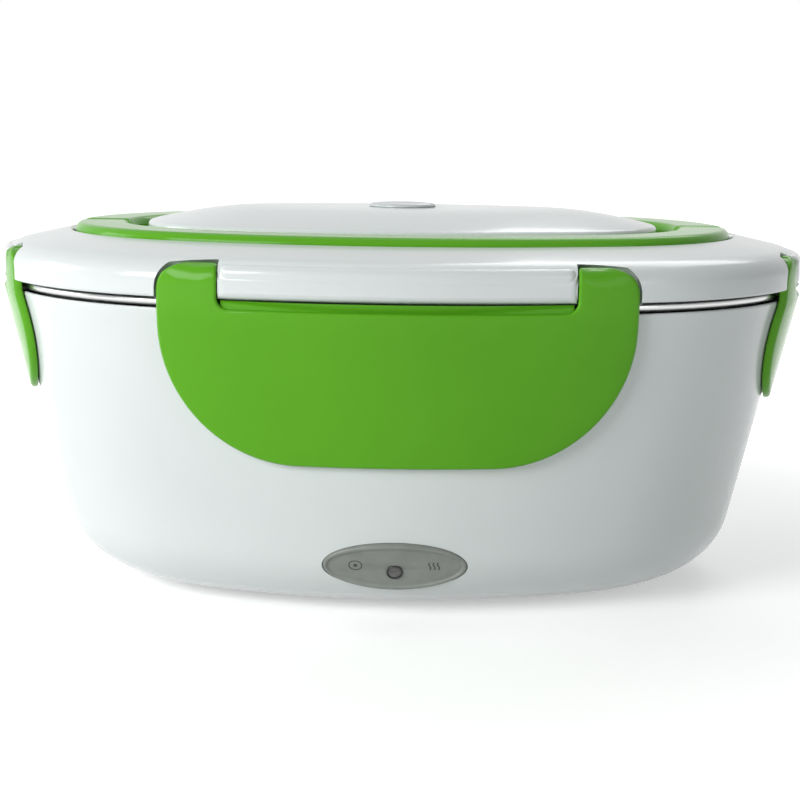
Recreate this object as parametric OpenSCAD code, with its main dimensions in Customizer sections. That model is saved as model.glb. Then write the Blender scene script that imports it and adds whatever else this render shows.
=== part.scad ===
// Electric lunch box: an oval heated base, a steel container that lifts out of it, and a
// lift-off lid held down by four clip latches, with a folding double handle and a vent plug.
// Origin: middle of the rest plane under the feet. +X right, +Y rear, +Z up. Millimetres.
//
// Every wall follows one oval made of four arcs. A section is drawn as [inset, height], where
// inset is the distance inwards from the base's rim, and is turned along all four arcs. The
// lid stands out past the rim by the thickness of the latches, so they lie flush with it.

/* [Oval] */
// Length of the base's rim, left to right
body_l = 226; // [216:1:236]
// Radius of the two end arcs of the oval
end_r = 77; // [75:1:79]

/* [Base] */
// Height of the base's rim above the rest plane
base_h = 84; // [80:1:90]
// How far the base's wall slopes inwards between rim and rest plane
taper = 19.6; // [18:0.2:21]
// Wall thickness of the base shell
base_wall = 2.5; // [2:0.1:2.8]
// Height at which the rounded bottom edge starts
round_h = 19; // [17:0.5:20]
// Width of the rounded bottom edge
round_w = 26; // [24:0.5:28]
// Height of the feet below the base
foot_h = 1.2; // [0.8:0.1:1.8]
// Radius of each foot
foot_r = 6.5; // [5:0.5:7]

/* [Container] */
// Sheet thickness of the steel container
sheet = 0.8; // [0.6:0.1:1]
// Radius of the rolled rim
rim_r = 1.3; // [1.1:0.1:1.4]
// Width of the container's flange, rim included
flange_w = 13; // [12.5:0.5:13.5]

/* [Lid] */
// Wall thickness of the lid shell
lid_wall = 2.2; // [1.9:0.1:2.4]
// Height of the lid's side, from its lower edge to the start of the shoulder
lid_side = 4.5; // [4:0.1:5]
// Rise of the lid's middle above its edge
crown = 4.4; // [3:0.2:5]

/* [Handle] */
// Width of the handle's bar
bar_w = 15.4; // [14:0.2:16]
// Thickness of the handle's bar
bar_t = 6.4; // [6:0.1:6.6]
// Radius of the handle's pins
bar_pin_r = 1; // [0.8:0.1:1.1]

/* [Latches] */
// Half width of the front and rear latches
wide_half = 61.2; // [58:0.2:63]
// Half width of the end latches
narrow_half = 38; // [36:0.5:39]
// Depth of the front and rear latches below their hinge
wide_drop = 48.3; // [44:0.1:52]
// Depth of the end latches below their hinge
narrow_drop = 38; // [34:0.5:42]
// Thickness of the latch panels
latch_t = 2.1; // [1.9:0.1:2.3]
// Radius of the latch pins
latch_pin_r = 1.1; // [1:0.05:1.2]

/* [Power inlet] */
// Distance between the two inlet pins
inlet_pitch = 8.6; // [8.2:0.1:9]
// Radius of an inlet pin
inlet_pin_r = 1.2; // [1:0.05:1.3]

/* [Indicator] */
// Length of the oval indicator panel
badge_l = 38.2; // [34:0.2:42]
// Height of the oval indicator panel
badge_w = 15; // [13:0.2:16]

/* [Hidden] */
$fn = 96;
eps = 0.02;
clear = 0.3;                     // gap between pieces that move past each other

// The four arcs: end arcs centred at (+-end_c, 0), side arcs at (0, +-side_c). The centres
// form a 5-12-13 triangle, so the arcs meet along lines of slope 12:5 and stay tangent.
end_c = body_l / 2 - end_r;
side_c = end_c * 12 / 5;
side_r = end_r + end_c * 13 / 5;
end_ang = atan2(12, 5);
body_w = 2 * (side_r - side_c);  // width of the base's rim, front to rear
wedge_far = 100;
wedge_tall = 250;

// Base
rim_in = 0.1;
base_z = foot_h;
open_in = 44;                    // inset of the bottom opening
ledge_in = 50;
ledge_z = base_z + 2.4;
ledge_t = 1.8;
cover_gap = 0.3;
round_a0 = 10;
step_z = base_h - 3.2;           // step that carries the liner's flange
step_d = 1.2;
boss_x = 24;
boss_y = body_w / 2 - 54;
boss_r = 4;
foot_x = body_l / 2 - 63;
foot_y = body_w / 2 - 64;
foot_sink = 0.6;

// Container and liner
rim_z = base_h + clear + rim_r;
rim_d = 0.8 + rim_r;
pan_floor = 27.6;
pan_round = 8;
pan_turn = pan_floor + pan_round;
flange_z = rim_z + 0.7;          // upper face of the flange
pan_top_in = 0.8 + flange_w;
pan_low_in = pan_top_in + 5;
pan_flat = 40;                   // inset inside which the container's floor is a plain plate
liner_gap = 1;
liner_t = 1.6;
liner_open = 32;
plate_in = 28;
plate_t = 1.8;
plate_z = pan_floor - clear - plate_t;     // underside of the heating plate
seat_in = plate_in - 0.4;        // inset of the liner's step round the heating plate

// Lid
latch_gap = 0.4;
lid_over = latch_gap + latch_t;  // how far the lid stands out past the base's rim
lid_z = base_h + 3.1;            // lower edge of the lid
skirt_more = 0.3;                // how much thicker the lid's skirt is than its other walls
shoulder_w = 6.4;
shoulder_h = 5.9;
shoulder_a = 75;
shoulder_z = lid_z + lid_side;
well_in = 17.3;                  // outer wall of the handle's well
well_edge = shoulder_z + shoulder_h + 2.7;
handle_in = well_in + 0.7;
handle_top = well_edge + 1.8;
handle_z = handle_top - bar_t;
well_z = handle_z - 0.4;
island_in = handle_in + bar_w + 5.4;
island_z = well_edge + 2.2;
island_round = 1.4;
crown_in = end_r - 6.2;          // inset inside which the lid's middle is flat
crown_z = island_z + crown;
seat_z = flange_z + clear;       // underside of the seal
seal_in = 9.7;
seal_w = 3.8;
plate_low = seat_z + 2.9;        // underside of the lid's inner plate
plate_up = plate_low + 1.6;
post_in = 25;
lip_in = pan_top_in + sheet + 1.2;

// Handle
pivot_y = bar_t / 2 + clear;
pivot_z = handle_z + bar_t / 2;
eye_r = bar_t / 2 - 0.05;
run = 0.05;                      // radial clearance of a running pin

// Latches
hinge_z = lid_z + 4.9;
barrel_r = 4;
ear_round = 2.6;                 // rounding of the ears' upper edge
ear_back = 1.5;                  // how far the ears' square top runs back past the hinge axis
swing_r = (barrel_r - ear_round) * sqrt(2) + ear_round;
side_gap = 0.5;                  // gap between an ear's outer side and its pocket
panel_top = base_h + 0.7;
wide_ear = 15.9;
narrow_ear = 10.7;
wide_corner = 36;
narrow_corner = 25;
ear_corner = 7;
notch_corner = 3;
hook_z = base_h - 13.4;
hook_h = 2;
hook_in = 1.6;
hook_up = 0.5;
lug_d = 2.4;                     // how far the lid's hinge bars stand out
lug_low = lid_z + 0.1;
lug_top = shoulder_z + 4.2;
lug_round = 2.2;
block_in = 8.4;                  // inner face of the solid blocks behind the ears
pin_back = 8;
pin_ahead = 4;                   // how far a latch pin reaches into the ear

// Vent plug
plug_r = 9.8;
plug_stem = 6.7;
plug_hole = 7;

// Electrics
inlet_z = 14.5;
inlet_face = body_w / 2 - 16.2;
inlet_w = 24;
inlet_h = 12.4;
inlet_deep = 15;
recess_w = 16.4;
recess_h = 8.8;
recess_deep = 9;
pin_root = 2 * inlet_pin_r + 0.4;  // side of the inlet pins' square roots, which the socket holds
pin_collar = 0.3;                // how far those roots stand out of the recess floor
badge_z = 15.2;                  // height and inset of the middle of the panel's face
badge_in = 16.5;
badge_tilt = 26;                 // the panel's face looks this far down
badge_t = 3.4;
badge_rim = 1.2;
badge_step = 0.5;
badge_deep = 8;                  // the panel's outline is cut this far behind its face
light_r = 2.2;
light_z = -1.6;                  // the light sits a little below the panel's middle
board = [26, 9, 1.4];            // circuit board: size, and the depth of its front face
board_deep = 7;
heater = [62, 26, 5];
clamp_half = 44;
clamp_w = 12;
clamp_t = 1.2;
stat_pos = [26, 24];
fuse_pos = [-24, 22];
wire_r = 0.9;

// Ends of the wires, just clear of the terminals they serve
pin_end = [inlet_pitch / 2, inlet_face - inlet_deep - 2.8, inlet_z];
board_end = badge_point([8, -2, -board_deep - board.z - 1]);
heat_end = [heater.x / 2 + 0.2, 9.8, plate_z - 2.5];
heat_side = [20, -heater.y / 2 - 0.2, plate_z - 2.5];
tab_z = plate_z - 13.2;
lead_z = plate_z - 2.3;

// Routes of the wires inside the base: points chosen along the free space
wire_live = [[-pin_end.x, pin_end.y, inlet_z], [-4.8, pin_end.y - 4, 14], [-12, 40, 12], [-24, 38.5, 13],
    [-34, 33, 17], [-38, 26, 21.5], [-36, 22.3, lead_z], [fuse_pos.x - 8.2, fuse_pos.y, lead_z]];
wire_fuse = [[fuse_pos.x + 8.2, fuse_pos.y, lead_z], [-12, 22, 22.6], [-6, 23, 17], [4, 25, 12.5],
    [14, 25.5, 9], [20.5, 24.4, 9.2], [stat_pos.x - 4, stat_pos.y, tab_z]];
wire_stat = [[stat_pos.x + 4, stat_pos.y, tab_z], [30.6, 23.6, 9.4], [35, 19, 8.8], [38.6, 13.4, 12],
    [38.6, 10.2, 18], [36.4, 9.8, 22.4], heat_end];
wire_back = [pin_end, [4.6, pin_end.y - 4, 13.6], [6, 36, 8.6], [2, 14, 7.6], [-14, -4, 8.2],
    [-31, -9.6, 11.6], [-37.6, -10.2, 18], [-35.8, -9.8, 22.3], [-heat_end.x, -heat_end.y, heat_end.z]];
wire_light = [board_end, [8, board_end.y + 4.4, 14.8], [12, -40, 10], [18, -25, 13.6], [20, -17.4, 21.8],
    heat_side];

/* ---- functions ---- */

// Inset of the base's outer wall at height z
function wall_in(z) = rim_in + taper * (1 - z / base_h);

// Points of an arc in a section, from angle a to angle b
function arc(cx, cy, rx, ry, a, b, n = 8) =
    [for (i = [0 : n]) let (t = a + (b - a) * i / n) [cx + rx * cos(t), cy + ry * sin(t)]];

// The base's outer line, from the bottom's flat up to the rim
function base_line(off = 0, low = base_z) = [
    for (i = [0 : 8])
        let (t = 90 + (round_a0 - 90) * i / 8)
        let (z = base_z + (round_h - base_z) * (1 - sin(t)) / (1 - sin(round_a0)))
        if (z >= low) [wall_in(round_h) + round_w * (cos(round_a0) - cos(t)) + off, z]
    ];

// The container's wall, from the flange down to its flat floor, moved inwards by off
function pan_line(top, off = 0) = concat(
    [[pan_top_in + off, top]],
    arc(pan_low_in + pan_round, pan_turn, pan_round - off, pan_round - off, 180, 270, 6));

// A point given in the indicator panel's own place: +Z out of its face, +Y up the wall
function badge_point(p) = [
    p.x,
    badge_in - body_w / 2 - p.y * sin(badge_tilt) - p.z * cos(badge_tilt),
    badge_z + p.y * cos(badge_tilt) - p.z * sin(badge_tilt)];

// Outline of the oval, moved inwards by an inset
function oval_points(inset) = concat(
    arc(end_c, 0, end_r - inset, end_r - inset, -end_ang, end_ang, 24),
    arc(0, -side_c, side_r - inset, side_r - inset, end_ang + 3, 177 - end_ang, 13),
    arc(-end_c, 0, end_r - inset, end_r - inset, 180 - end_ang, 180 + end_ang, 24),
    arc(0, side_c, side_r - inset, side_r - inset, 183 + end_ang, 357 - end_ang, 13));

// Distance of the outline from the middle, at x along an arc of radius r centred at c
function reach(c, r, x) = c + sqrt(r * r - x * x);

// Ring of n points round p, in the plane square to direction d
function ring(p, d, r, n) =
    let (f = d / norm(d))
    let (s = cross(f, abs(f.z) < 0.9 ? [0, 0, 1] : [1, 0, 0]))
    let (u = s / norm(s))
    let (v = cross(f, u))
    [for (i = [0 : n - 1]) p + r * (cos(360 * i / n) * u + sin(360 * i / n) * v)];

// Smooth curve through the points of a route, k steps to a span
function smooth(p, k = 3) = concat(
    [for (i = [0 : len(p) - 2]) for (j = [0 : k - 1])
        let (t = j / k)
        let (a = p[max(i - 1, 0)])
        let (b = p[i])
        let (c = p[i + 1])
        let (d = p[min(i + 2, len(p) - 1)])
        0.5 * (2 * b + (c - a) * t + (2 * a - 5 * b + 4 * c - d) * t * t
            + (3 * b - a - 3 * c + d) * t * t * t)],
    [p[len(p) - 1]]);

/* ---- building blocks ---- */

// Turns a section along one end arc: side 1 is the right end, -1 the left
module end_turn(side) {
    translate([side * end_c, 0, 0]) intersection() {
        rotate([0, 0, side > 0 ? 180 : 0]) rotate_extrude() at_radius(end_r) children();
        wedge([[side * wedge_far, -wedge_far * 12 / 5], [side * wedge_far, wedge_far * 12 / 5]]);
    }
}

// Turns a section along one side arc: side 1 is the rear, -1 the front
module side_turn(side) {
    translate([0, -side * side_c, 0]) intersection() {
        rotate_extrude() at_radius(side_r) children();
        wedge([[-wedge_far, side * wedge_far * 12 / 5], [wedge_far, side * wedge_far * 12 / 5]]);
    }
}

// The space between two planes that stand on the Z axis, up to a far edge
module wedge(far) {
    translate([0, 0, -10]) linear_extrude(wedge_tall) polygon(concat([[0, 0]], far));
}

// Places a section at radius r, its inset running towards the middle
module at_radius(r) {
    translate([r, 0]) mirror([1, 0]) children();
}

// A wall or ring: the section turned round the whole oval
module oval_ring() {
    for (side = [1, -1]) {
        end_turn(side) children();
        side_turn(side) children();
    }
}

// A flat oval plate between two heights
module oval_plate(inset, low, top) {
    translate([0, 0, low]) linear_extrude(top - low) polygon(oval_points(inset));
}

// Turns a section along a stretch of the front, for an arc of radius r centred at y = c
module front_turn(c, r, half) {
    span = 2 * asin(min(1, (half + 4) / (r - 12)));
    translate([0, c, 0]) rotate([0, 0, 270 - span / 2])
        rotate_extrude(angle = span) at_radius(r) children();
}

module x_rod(r, x0, x1, y, z) {
    translate([x0, y, z]) rotate([0, 90, 0]) cylinder(r = r, h = x1 - x0);
}

module y_rod(r, y0, y1, x, z) {
    translate([x, y1, z]) rotate([90, 0, 0]) cylinder(r = r, h = y1 - y0);
}

// A flat prism with round ends, standing on z = 0
module stadium(l, w, h) {
    linear_extrude(h) stadium_2d(l, w);
}

module stadium_2d(l, w) {
    square([l - w, w], center = true);
    for (s = [-1, 1]) translate([s * (l - w) / 2, 0]) circle(d = w);
}

module ellipse(l, w) {
    polygon([for (a = [0 : 7.5 : 352.5]) [l / 2 * cos(a), w / 2 * sin(a)]]);
}

// A tube along a route
module tube(route, r, n = 8) {
    p = smooth(route);
    m = len(p);
    rings = [for (i = [0 : m - 1])
        each ring(p[i], p[min(i + 1, m - 1)] - p[max(i - 1, 0)], r, n)];
    sides = [for (i = [0 : m - 2]) for (j = [0 : n - 1])
        [i * n + j, i * n + (j + 1) % n, (i + 1) * n + (j + 1) % n, (i + 1) * n + j]];
    ends = [[for (j = [0 : n - 1]) n - 1 - j], [for (j = [0 : n - 1]) (m - 1) * n + j]];
    polyhedron(rings, concat(sides, ends));
}

// Puts its children at the four corners of a rectangle
module corners(x, y) {
    for (sx = [-1, 1]) for (sy = [-1, 1]) translate([sx * x, sy * y, 0]) children();
}

// The front, rear, left and right latch places
module at_front() { children(); }
module at_rear() { rotate([0, 0, 180]) children(); }
module at_left() { rotate([0, 0, -90]) children(); }
module at_right() { rotate([0, 0, 90]) children(); }

/* ---- latch geometry, in the front latch's own place ---- */

// Depth of the hinge axis from the middle
function hinge_y(c, r, ear_in) = reach(-c, r, ear_in) + lid_over - barrel_r;

// Section of the latch panel: it follows the base's slope, then the lid's side
module latch_section(low) {
    top = hinge_z;
    inner = [[wall_in(low), low], [rim_in, base_h], [0, top]];
    polygon(concat(
        [for (p = inner) [p.x - latch_gap, p.y]],
        [for (i = [2 : -1 : 0]) [inner[i].x - latch_gap - latch_t, inner[i].y]]));
}

// Everything behind the outer surface of the ears, their upper edge rounded
module latch_envelope() {
    top = hinge_z + barrel_r;
    polygon(concat(
        [[-lid_over, hinge_z - barrel_r - 1]],
        arc(ear_round - lid_over, top - ear_round, ear_round, ear_round, 180, 90, 5),
        [[12, top], [12, hinge_z - barrel_r - 1]]));
}

// An ear seen along its hinge axis: a barrel with a square front
module ear_profile() {
    circle(r = barrel_r);
    translate([-9, -barrel_r]) square([9 + ear_back, 2 * barrel_r]);
}

// Outline of a latch seen from the front, [x, z]
module latch_outline(half, ear, drop, corner) {
    low = hinge_z - drop;
    top = hinge_z + barrel_r;
    in = half - ear;
    right = concat(
        arc(half - corner, low + corner, corner, corner, -90, 0, 12),
        arc(half - ear_corner, top - ear_corner, ear_corner, ear_corner, 0, 90, 6),
        [[in, top]],
        arc(in - notch_corner, panel_top + notch_corner, notch_corner, notch_corner, 0, -90, 4));
    polygon(concat(right, [for (i = [len(right) - 1 : -1 : 0]) [-right[i].x, right[i].y]]));
}

module latch(c, r, half, ear, drop, corner) {
    in = half - ear;
    ay = -hinge_y(c, r, in);
    difference() {
        intersection() {
            union() {
                front_turn(c, r, half) latch_section(hinge_z - drop);
                intersection() {
                    translate([-half - 1, ay, hinge_z]) rotate([90, 0, 90])
                        linear_extrude(2 * half + 2) ear_profile();
                    front_turn(c, r, half) latch_envelope();
                }
            }
            translate([0, -20, 0]) rotate([90, 0, 0])
                linear_extrude(body_l) latch_outline(half, ear, drop, corner);
        }
        x_rod(latch_pin_r + run, -in - pin_ahead - clear, in + pin_ahead + clear, ay, hinge_z);
    }
    latch_hook(c, r, in - 4);
}

// The rib on the inside of the panel that catches under the base's rim
module latch_hook(c, r, half) {
    intersection() {
        front_turn(c, r, half) polygon([
            [wall_in(hook_z) - latch_gap - 1, hook_z],
            [wall_in(hook_z) - latch_gap + hook_in - 0.4, hook_z],
            [wall_in(hook_z) - latch_gap + hook_in, hook_z + 0.8],
            [wall_in(hook_z) - latch_gap + hook_in, hook_z + hook_h],
            [wall_in(hook_z) - latch_gap - 1, hook_z + hook_h]]);
        translate([-half, -body_l, 0]) cube([2 * half, body_l, base_h]);
    }
}

// The slot in the base's wall that the hook enters
module hook_slot(c, r, half) {
    intersection() {
        front_turn(c, r, half + 2) polygon([
            [wall_in(hook_z) - 4, hook_z - 0.9],
            [wall_in(hook_z) + hook_in + 0.3, hook_z - 0.9],
            [wall_in(hook_z) + hook_in + 0.3, hook_z + hook_h + hook_up],
            [wall_in(hook_z) - 4, hook_z + hook_h + hook_up]]);
        translate([-half - 1, -body_l, 0]) cube([2 * half + 2, body_l, base_h]);
    }
}

// The thicker wall behind that slot
module slot_back(c, r, half) {
    intersection() {
        front_turn(c, r, half + 4) polygon([
            [wall_in(hook_z - 4) + base_wall - 0.5, hook_z - 4],
            [wall_in(hook_z) + base_wall + 2, hook_z - 2.4],
            [wall_in(hook_z) + base_wall + 2, hook_z + hook_h + 2.4],
            [wall_in(hook_z + hook_h + 4) + base_wall - 0.5, hook_z + hook_h + 4]]);
        translate([-half - 3, -body_l, 0]) cube([2 * half + 6, body_l, base_h]);
    }
}

// The lid's hinge bar between the two ears
module lug(c, r, in) {
    intersection() {
        front_turn(c, r, in) polygon(concat(
            [[2, lug_low]],
            arc(-lug_d + lug_round, lug_low + lug_round, lug_round, lug_round, -90, -180, 5),
            arc(-lug_d + lug_round, lug_top - lug_round, lug_round, lug_round, 180, 90, 5),
            [[2, lug_top]]));
        translate([-in + clear, -body_l, 0]) cube([2 * (in - clear), body_l, 200]);
    }
}

// What is rounded off the lid's lower edge along the hinge bar, so that the latch can swing up
module lug_edge(c, r, in) {
    out = -lid_over - 1;
    mid = lid_wall - lid_over;
    intersection() {
        front_turn(c, r, in) polygon(concat(
            [[out, lid_z + lid_wall], [out, lid_z - 1], [mid, lid_z - 1]],
            arc(mid, lid_z + lid_wall, lid_wall, lid_wall, -90, -180, 5)));
        translate([-in, -body_l, 0]) cube([2 * in, body_l, 200]);
    }
}

// The solid blocks behind the ears, which carry the pins
module hinge_blocks(c, r, in, half) {
    top = shoulder_z + 3.6;
    intersection() {
        front_turn(c, r, half) polygon([[0.6 - lid_over, lid_z], [0.6 - lid_over, shoulder_z + 0.4], [1, top],
            [block_in, top], [block_in, lid_z]]);
        for (s = [-1, 1])
            translate([s * (in + half) / 2, -body_l / 2, 0])
                cube([half - in + 2 * pin_back + 4, body_l, 300], center = true);
    }
}

// Room for the ears to turn in, cut out of the lid's edge, and the pins' holes
module hinge_room(c, r, in, half) {
    ay = -hinge_y(c, r, in);
    lug_edge(c, r, in);
    for (s = [-1, 1]) {
        translate([s > 0 ? in - clear : -half - side_gap, ay - 60 + swing_r + clear, lid_z - 1])
            cube([half - in + side_gap + clear, 60, 30]);
        x_rod(latch_pin_r + run, s > 0 ? in - pin_back : -in - 1, s > 0 ? in + 1 : -in + pin_back, ay, hinge_z);
    }
}

module hinge_pins(c, r, in) {
    ay = -hinge_y(c, r, in);
    for (s = [-1, 1])
        x_rod(latch_pin_r, s > 0 ? in - pin_back + 0.2 : -in - pin_ahead,
            s > 0 ? in + pin_ahead : -in + pin_back - 0.2, ay, hinge_z);
}

// Arc, hinge and size of the two kinds of latch
wide = [side_c, side_r, wide_half - wide_ear];
narrow = [-end_c, end_r, narrow_half - narrow_ear];

/* ---- base ---- */

module base_shell() {
    color("white") difference() {
        union() {
            oval_ring() base_section();
            corners(boss_x, boss_y) translate([0, 0, ledge_z]) cylinder(r = boss_r, h = 11);
            at_front() slot_back(wide[0], wide[1], wide[2] - 4);
            at_rear() slot_back(wide[0], wide[1], wide[2] - 4);
            at_left() slot_back(narrow[0], narrow[1], narrow[2] - 4);
            at_right() slot_back(narrow[0], narrow[1], narrow[2] - 4);
        }
        corners(boss_x, boss_y) translate([0, 0, ledge_z - 1]) cylinder(r = 1.25, h = 10);
        at_front() hook_slot(wide[0], wide[1], wide[2] - 4);
        at_rear() hook_slot(wide[0], wide[1], wide[2] - 4);
        at_left() hook_slot(narrow[0], narrow[1], narrow[2] - 4);
        at_right() hook_slot(narrow[0], narrow[1], narrow[2] - 4);
        translate([0, inlet_face + 10, inlet_z]) rotate([90, 0, 0])
            stadium(inlet_w + 0.2, inlet_h + 0.2, inlet_deep + 20);
        badge_prism(badge_l + 0.4, badge_w + 0.4);
    }
}

// Wall, bottom edge and the ledge round the bottom opening
module base_section() {
    outer = base_line();
    inner = base_line(base_wall, ledge_z + ledge_t + 0.2);
    polygon(concat(
        [[ledge_in, ledge_z], [open_in, ledge_z], [open_in, base_z]],
        outer,
        [[rim_in, base_h], [rim_in + base_wall - step_d, base_h], [rim_in + base_wall - step_d, step_z],
            [wall_in(step_z) + base_wall, step_z]],
        [for (i = [len(inner) - 1 : -1 : 0]) inner[i]],
        [[inner[0].x + 2, ledge_z + ledge_t], [ledge_in, ledge_z + ledge_t]]));
}

module bottom_cover() {
    color("whitesmoke") difference() {
        oval_plate(open_in + cover_gap, base_z, ledge_z);
        corners(boss_x, boss_y) {
            translate([0, 0, base_z - 1]) cylinder(r = 1.7, h = 6);
            translate([0, 0, base_z - 1]) cylinder(r = 3.2, h = 2);
        }
        corners(foot_x, foot_y) translate([0, 0, base_z - 1]) cylinder(r = foot_r, h = 1 + foot_sink);
        for (i = [-3 : 3]) translate([i * 7, 0, base_z - 1]) air_slot();
    }
}

// One of the air slots in the middle of the cover
module air_slot() {
    rotate([0, 0, 90]) stadium(22, 2.4, 6);
}

module cover_screws() {
    color("silver") corners(boss_x, boss_y) difference() {
        union() {
            translate([0, 0, base_z + 0.2]) cylinder(r = 2.9, h = 0.8);
            translate([0, 0, base_z + 0.9]) cylinder(r = 1.25, h = 9.4);
        }
        for (a = [0, 90]) rotate([0, 0, a]) translate([-1.7, -0.3, base_z]) cube([3.4, 0.6, 0.7]);
    }
}

module feet() {
    color("dimgray") corners(foot_x, foot_y) {
        cylinder(r1 = foot_r - 0.8, r2 = foot_r - 0.3, h = 0.5);
        translate([0, 0, 0.5 - eps]) cylinder(r = foot_r - 0.3, h = base_z + foot_sink - 0.5 + eps);
    }
}

// The liner hangs from a flange on the base's step and carries the heating plate on a low step
module inner_liner() {
    wall = pan_line(step_z - 0.4, -liner_gap);
    back = pan_line(step_z - 0.4, -liner_gap - liner_t);
    flange_top = step_z + 1.6;
    color("white") oval_ring() polygon(concat(
        [[rim_in + base_wall - step_d + 0.3, step_z], [rim_in + base_wall - step_d + 0.3, flange_top],
            [wall[0].x, flange_top]],
        wall,
        [[seat_in, wall[len(wall) - 1].y], [seat_in, plate_z], [liner_open, plate_z],
            [liner_open, plate_z - liner_t], [seat_in - liner_t, plate_z - liner_t]],
        [for (i = [len(back) - 2 : -1 : 1]) back[i]],
        [[back[0].x, step_z]]));
}

module heating_plate() {
    color("lightgray") difference() {
        oval_plate(plate_in, plate_z, plate_z + plate_t);
        for (s = [-1, 1]) translate([s * (clamp_half - 4), 0, plate_z - 1]) cylinder(r = 1.4, h = 2.2);
    }
}

module heater_element() {
    color("tan") translate([-heater.x / 2, -heater.y / 2, plate_z - heater.z]) cube(heater);
}

// A steel strap under the heater, cranked up to the plate at both ends
module heater_clamp() {
    low = plate_z - heater.z - clamp_t;
    color("silver") difference() {
        translate([0, clamp_w / 2, 0]) rotate([90, 0, 0]) linear_extrude(clamp_w) polygon([
            [-clamp_half, plate_z], [-clamp_half, plate_z - clamp_t],
            [-clamp_half + 7, plate_z - clamp_t], [-clamp_half + 10, low], [clamp_half - 10, low],
            [clamp_half - 7, plate_z - clamp_t], [clamp_half, plate_z - clamp_t], [clamp_half, plate_z],
            [clamp_half - 7.6, plate_z], [clamp_half - 10.6, low + clamp_t],
            [-clamp_half + 10.6, low + clamp_t], [-clamp_half + 7.6, plate_z]]);
        for (s = [-1, 1]) translate([s * (clamp_half - 4), 0, plate_z - 3]) cylinder(r = 1.6, h = 5);
    }
}

module clamp_screws() {
    color("silver") for (s = [-1, 1]) translate([s * (clamp_half - 4), 0, 0]) difference() {
        union() {
            translate([0, 0, plate_z - clamp_t - 1.6]) cylinder(r = 2.7, h = 1.6);
            translate([0, 0, plate_z - clamp_t - 0.5]) cylinder(r = 1.4, h = clamp_t + 1.6);
        }
        translate([-2, -0.35, plate_z - clamp_t - 2]) cube([4, 0.7, 1.2]);
    }
}

module thermostat() {
    color("black") translate([stat_pos.x, stat_pos.y, plate_z]) {
        translate([0, 0, -4]) cylinder(r = 8.2, h = 4);
        translate([0, 0, -9]) cylinder(r = 7, h = 5 + eps);
        for (s = [-1, 1]) translate([s * 4 - 0.4, -2.2, -13]) cube([0.8, 4.4, 5]);
    }
}

module thermal_fuse() {
    color("white") {
        x_rod(2, fuse_pos.x - 5.5, fuse_pos.x + 5.5, fuse_pos.y, plate_z - 2.3);
        x_rod(0.5, fuse_pos.x - 8, fuse_pos.x + 8, fuse_pos.y, plate_z - 2.3);
    }
}

module wiring() {
    color("royalblue") {
        tube(wire_live, wire_r);
        tube(wire_fuse, wire_r);
        tube(wire_stat, wire_r);
        tube(wire_back, wire_r);
        for (s = [-1, 1]) tube([for (p = wire_light) [s * p.x, p.y, p.z]], wire_r);
    }
}

/* ---- power inlet and indicator ---- */

module inlet_socket() {
    color("black") difference() {
        translate([0, inlet_face, inlet_z]) rotate([90, 0, 0]) stadium(inlet_w, inlet_h, inlet_deep);
        translate([0, inlet_face + 1, inlet_z]) rotate([90, 0, 0])
            stadium(recess_w, recess_h, recess_deep + 1);
        pin_roots(inlet_face - inlet_deep - 1, inlet_face - recess_deep + 1);
    }
}

module inlet_pins() {
    root_end = inlet_face - recess_deep + pin_collar;
    color("silver") {
        pin_roots(inlet_face - inlet_deep - 2.6, root_end);
        for (s = [-1, 1]) y_rod(inlet_pin_r, root_end - 1, inlet_face - 1, s * inlet_pitch / 2, inlet_z);
    }
}

// Two square bars along Y, at the places of the two pins
module pin_roots(y0, y1) {
    for (s = [-1, 1]) translate([s * inlet_pitch / 2 - pin_root / 2, y0, inlet_z - pin_root / 2])
        cube([pin_root, y1 - y0, pin_root]);
}

// The indicator panel's place: its face looks along local +Z, local +Y runs up the wall
module badge_place() {
    translate(badge_point([0, 0, 0])) rotate([90 + badge_tilt, 0, 0]) children();
}

// An elliptical prism through the panel's place, square to its face
module badge_prism(l, w) {
    badge_place() translate([0, 0, -badge_deep]) linear_extrude(2 * badge_deep) ellipse(l, w);
}

// A slab that follows the wall's arc, between two depths below the panel's face
module badge_slab(near, deep) {
    h = badge_w / 2 + 1;
    front_turn(side_c, side_r, badge_l / 2) polygon([
        for (e = [[-h, near], [h, near], [h, deep], [-h, deep]])
            [badge_in - e[0] * sin(badge_tilt) + e[1] * cos(badge_tilt),
                badge_z + e[0] * cos(badge_tilt) + e[1] * sin(badge_tilt)]]);
}

// An elliptical panel with a raised rim and a round hole for the light
module indicator_panel() {
    color("gray") difference() {
        intersection() {
            badge_slab(0, badge_t);
            badge_prism(badge_l, badge_w);
        }
        intersection() {
            badge_slab(-2, badge_step);
            badge_prism(badge_l - 2 * badge_rim, badge_w - 2 * badge_rim);
        }
        badge_place() translate([0, light_z, -badge_deep]) cylinder(r = light_r + run, h = 10);
    }
}

module indicator_lens() {
    color("darkred") badge_place() translate([0, light_z, -badge_t - 1]) {
        cylinder(r = light_r, h = badge_t + 0.6);
        cylinder(r = light_r + 0.8, h = 0.85);
    }
}

// Small circuit board behind the indicator, with the light and a resistor on it
module light_board() {
    color("green") badge_place() {
        translate([-board.x / 2, -6.5, -board_deep - board.z]) cube(board);
        translate([0, light_z, -board_deep - eps]) cylinder(r = 1.5, h = 2.4 + eps);
        translate([6, -4, -board_deep - eps]) cube([4, 2, 1 + eps]);
    }
}

/* ---- container ---- */

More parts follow.
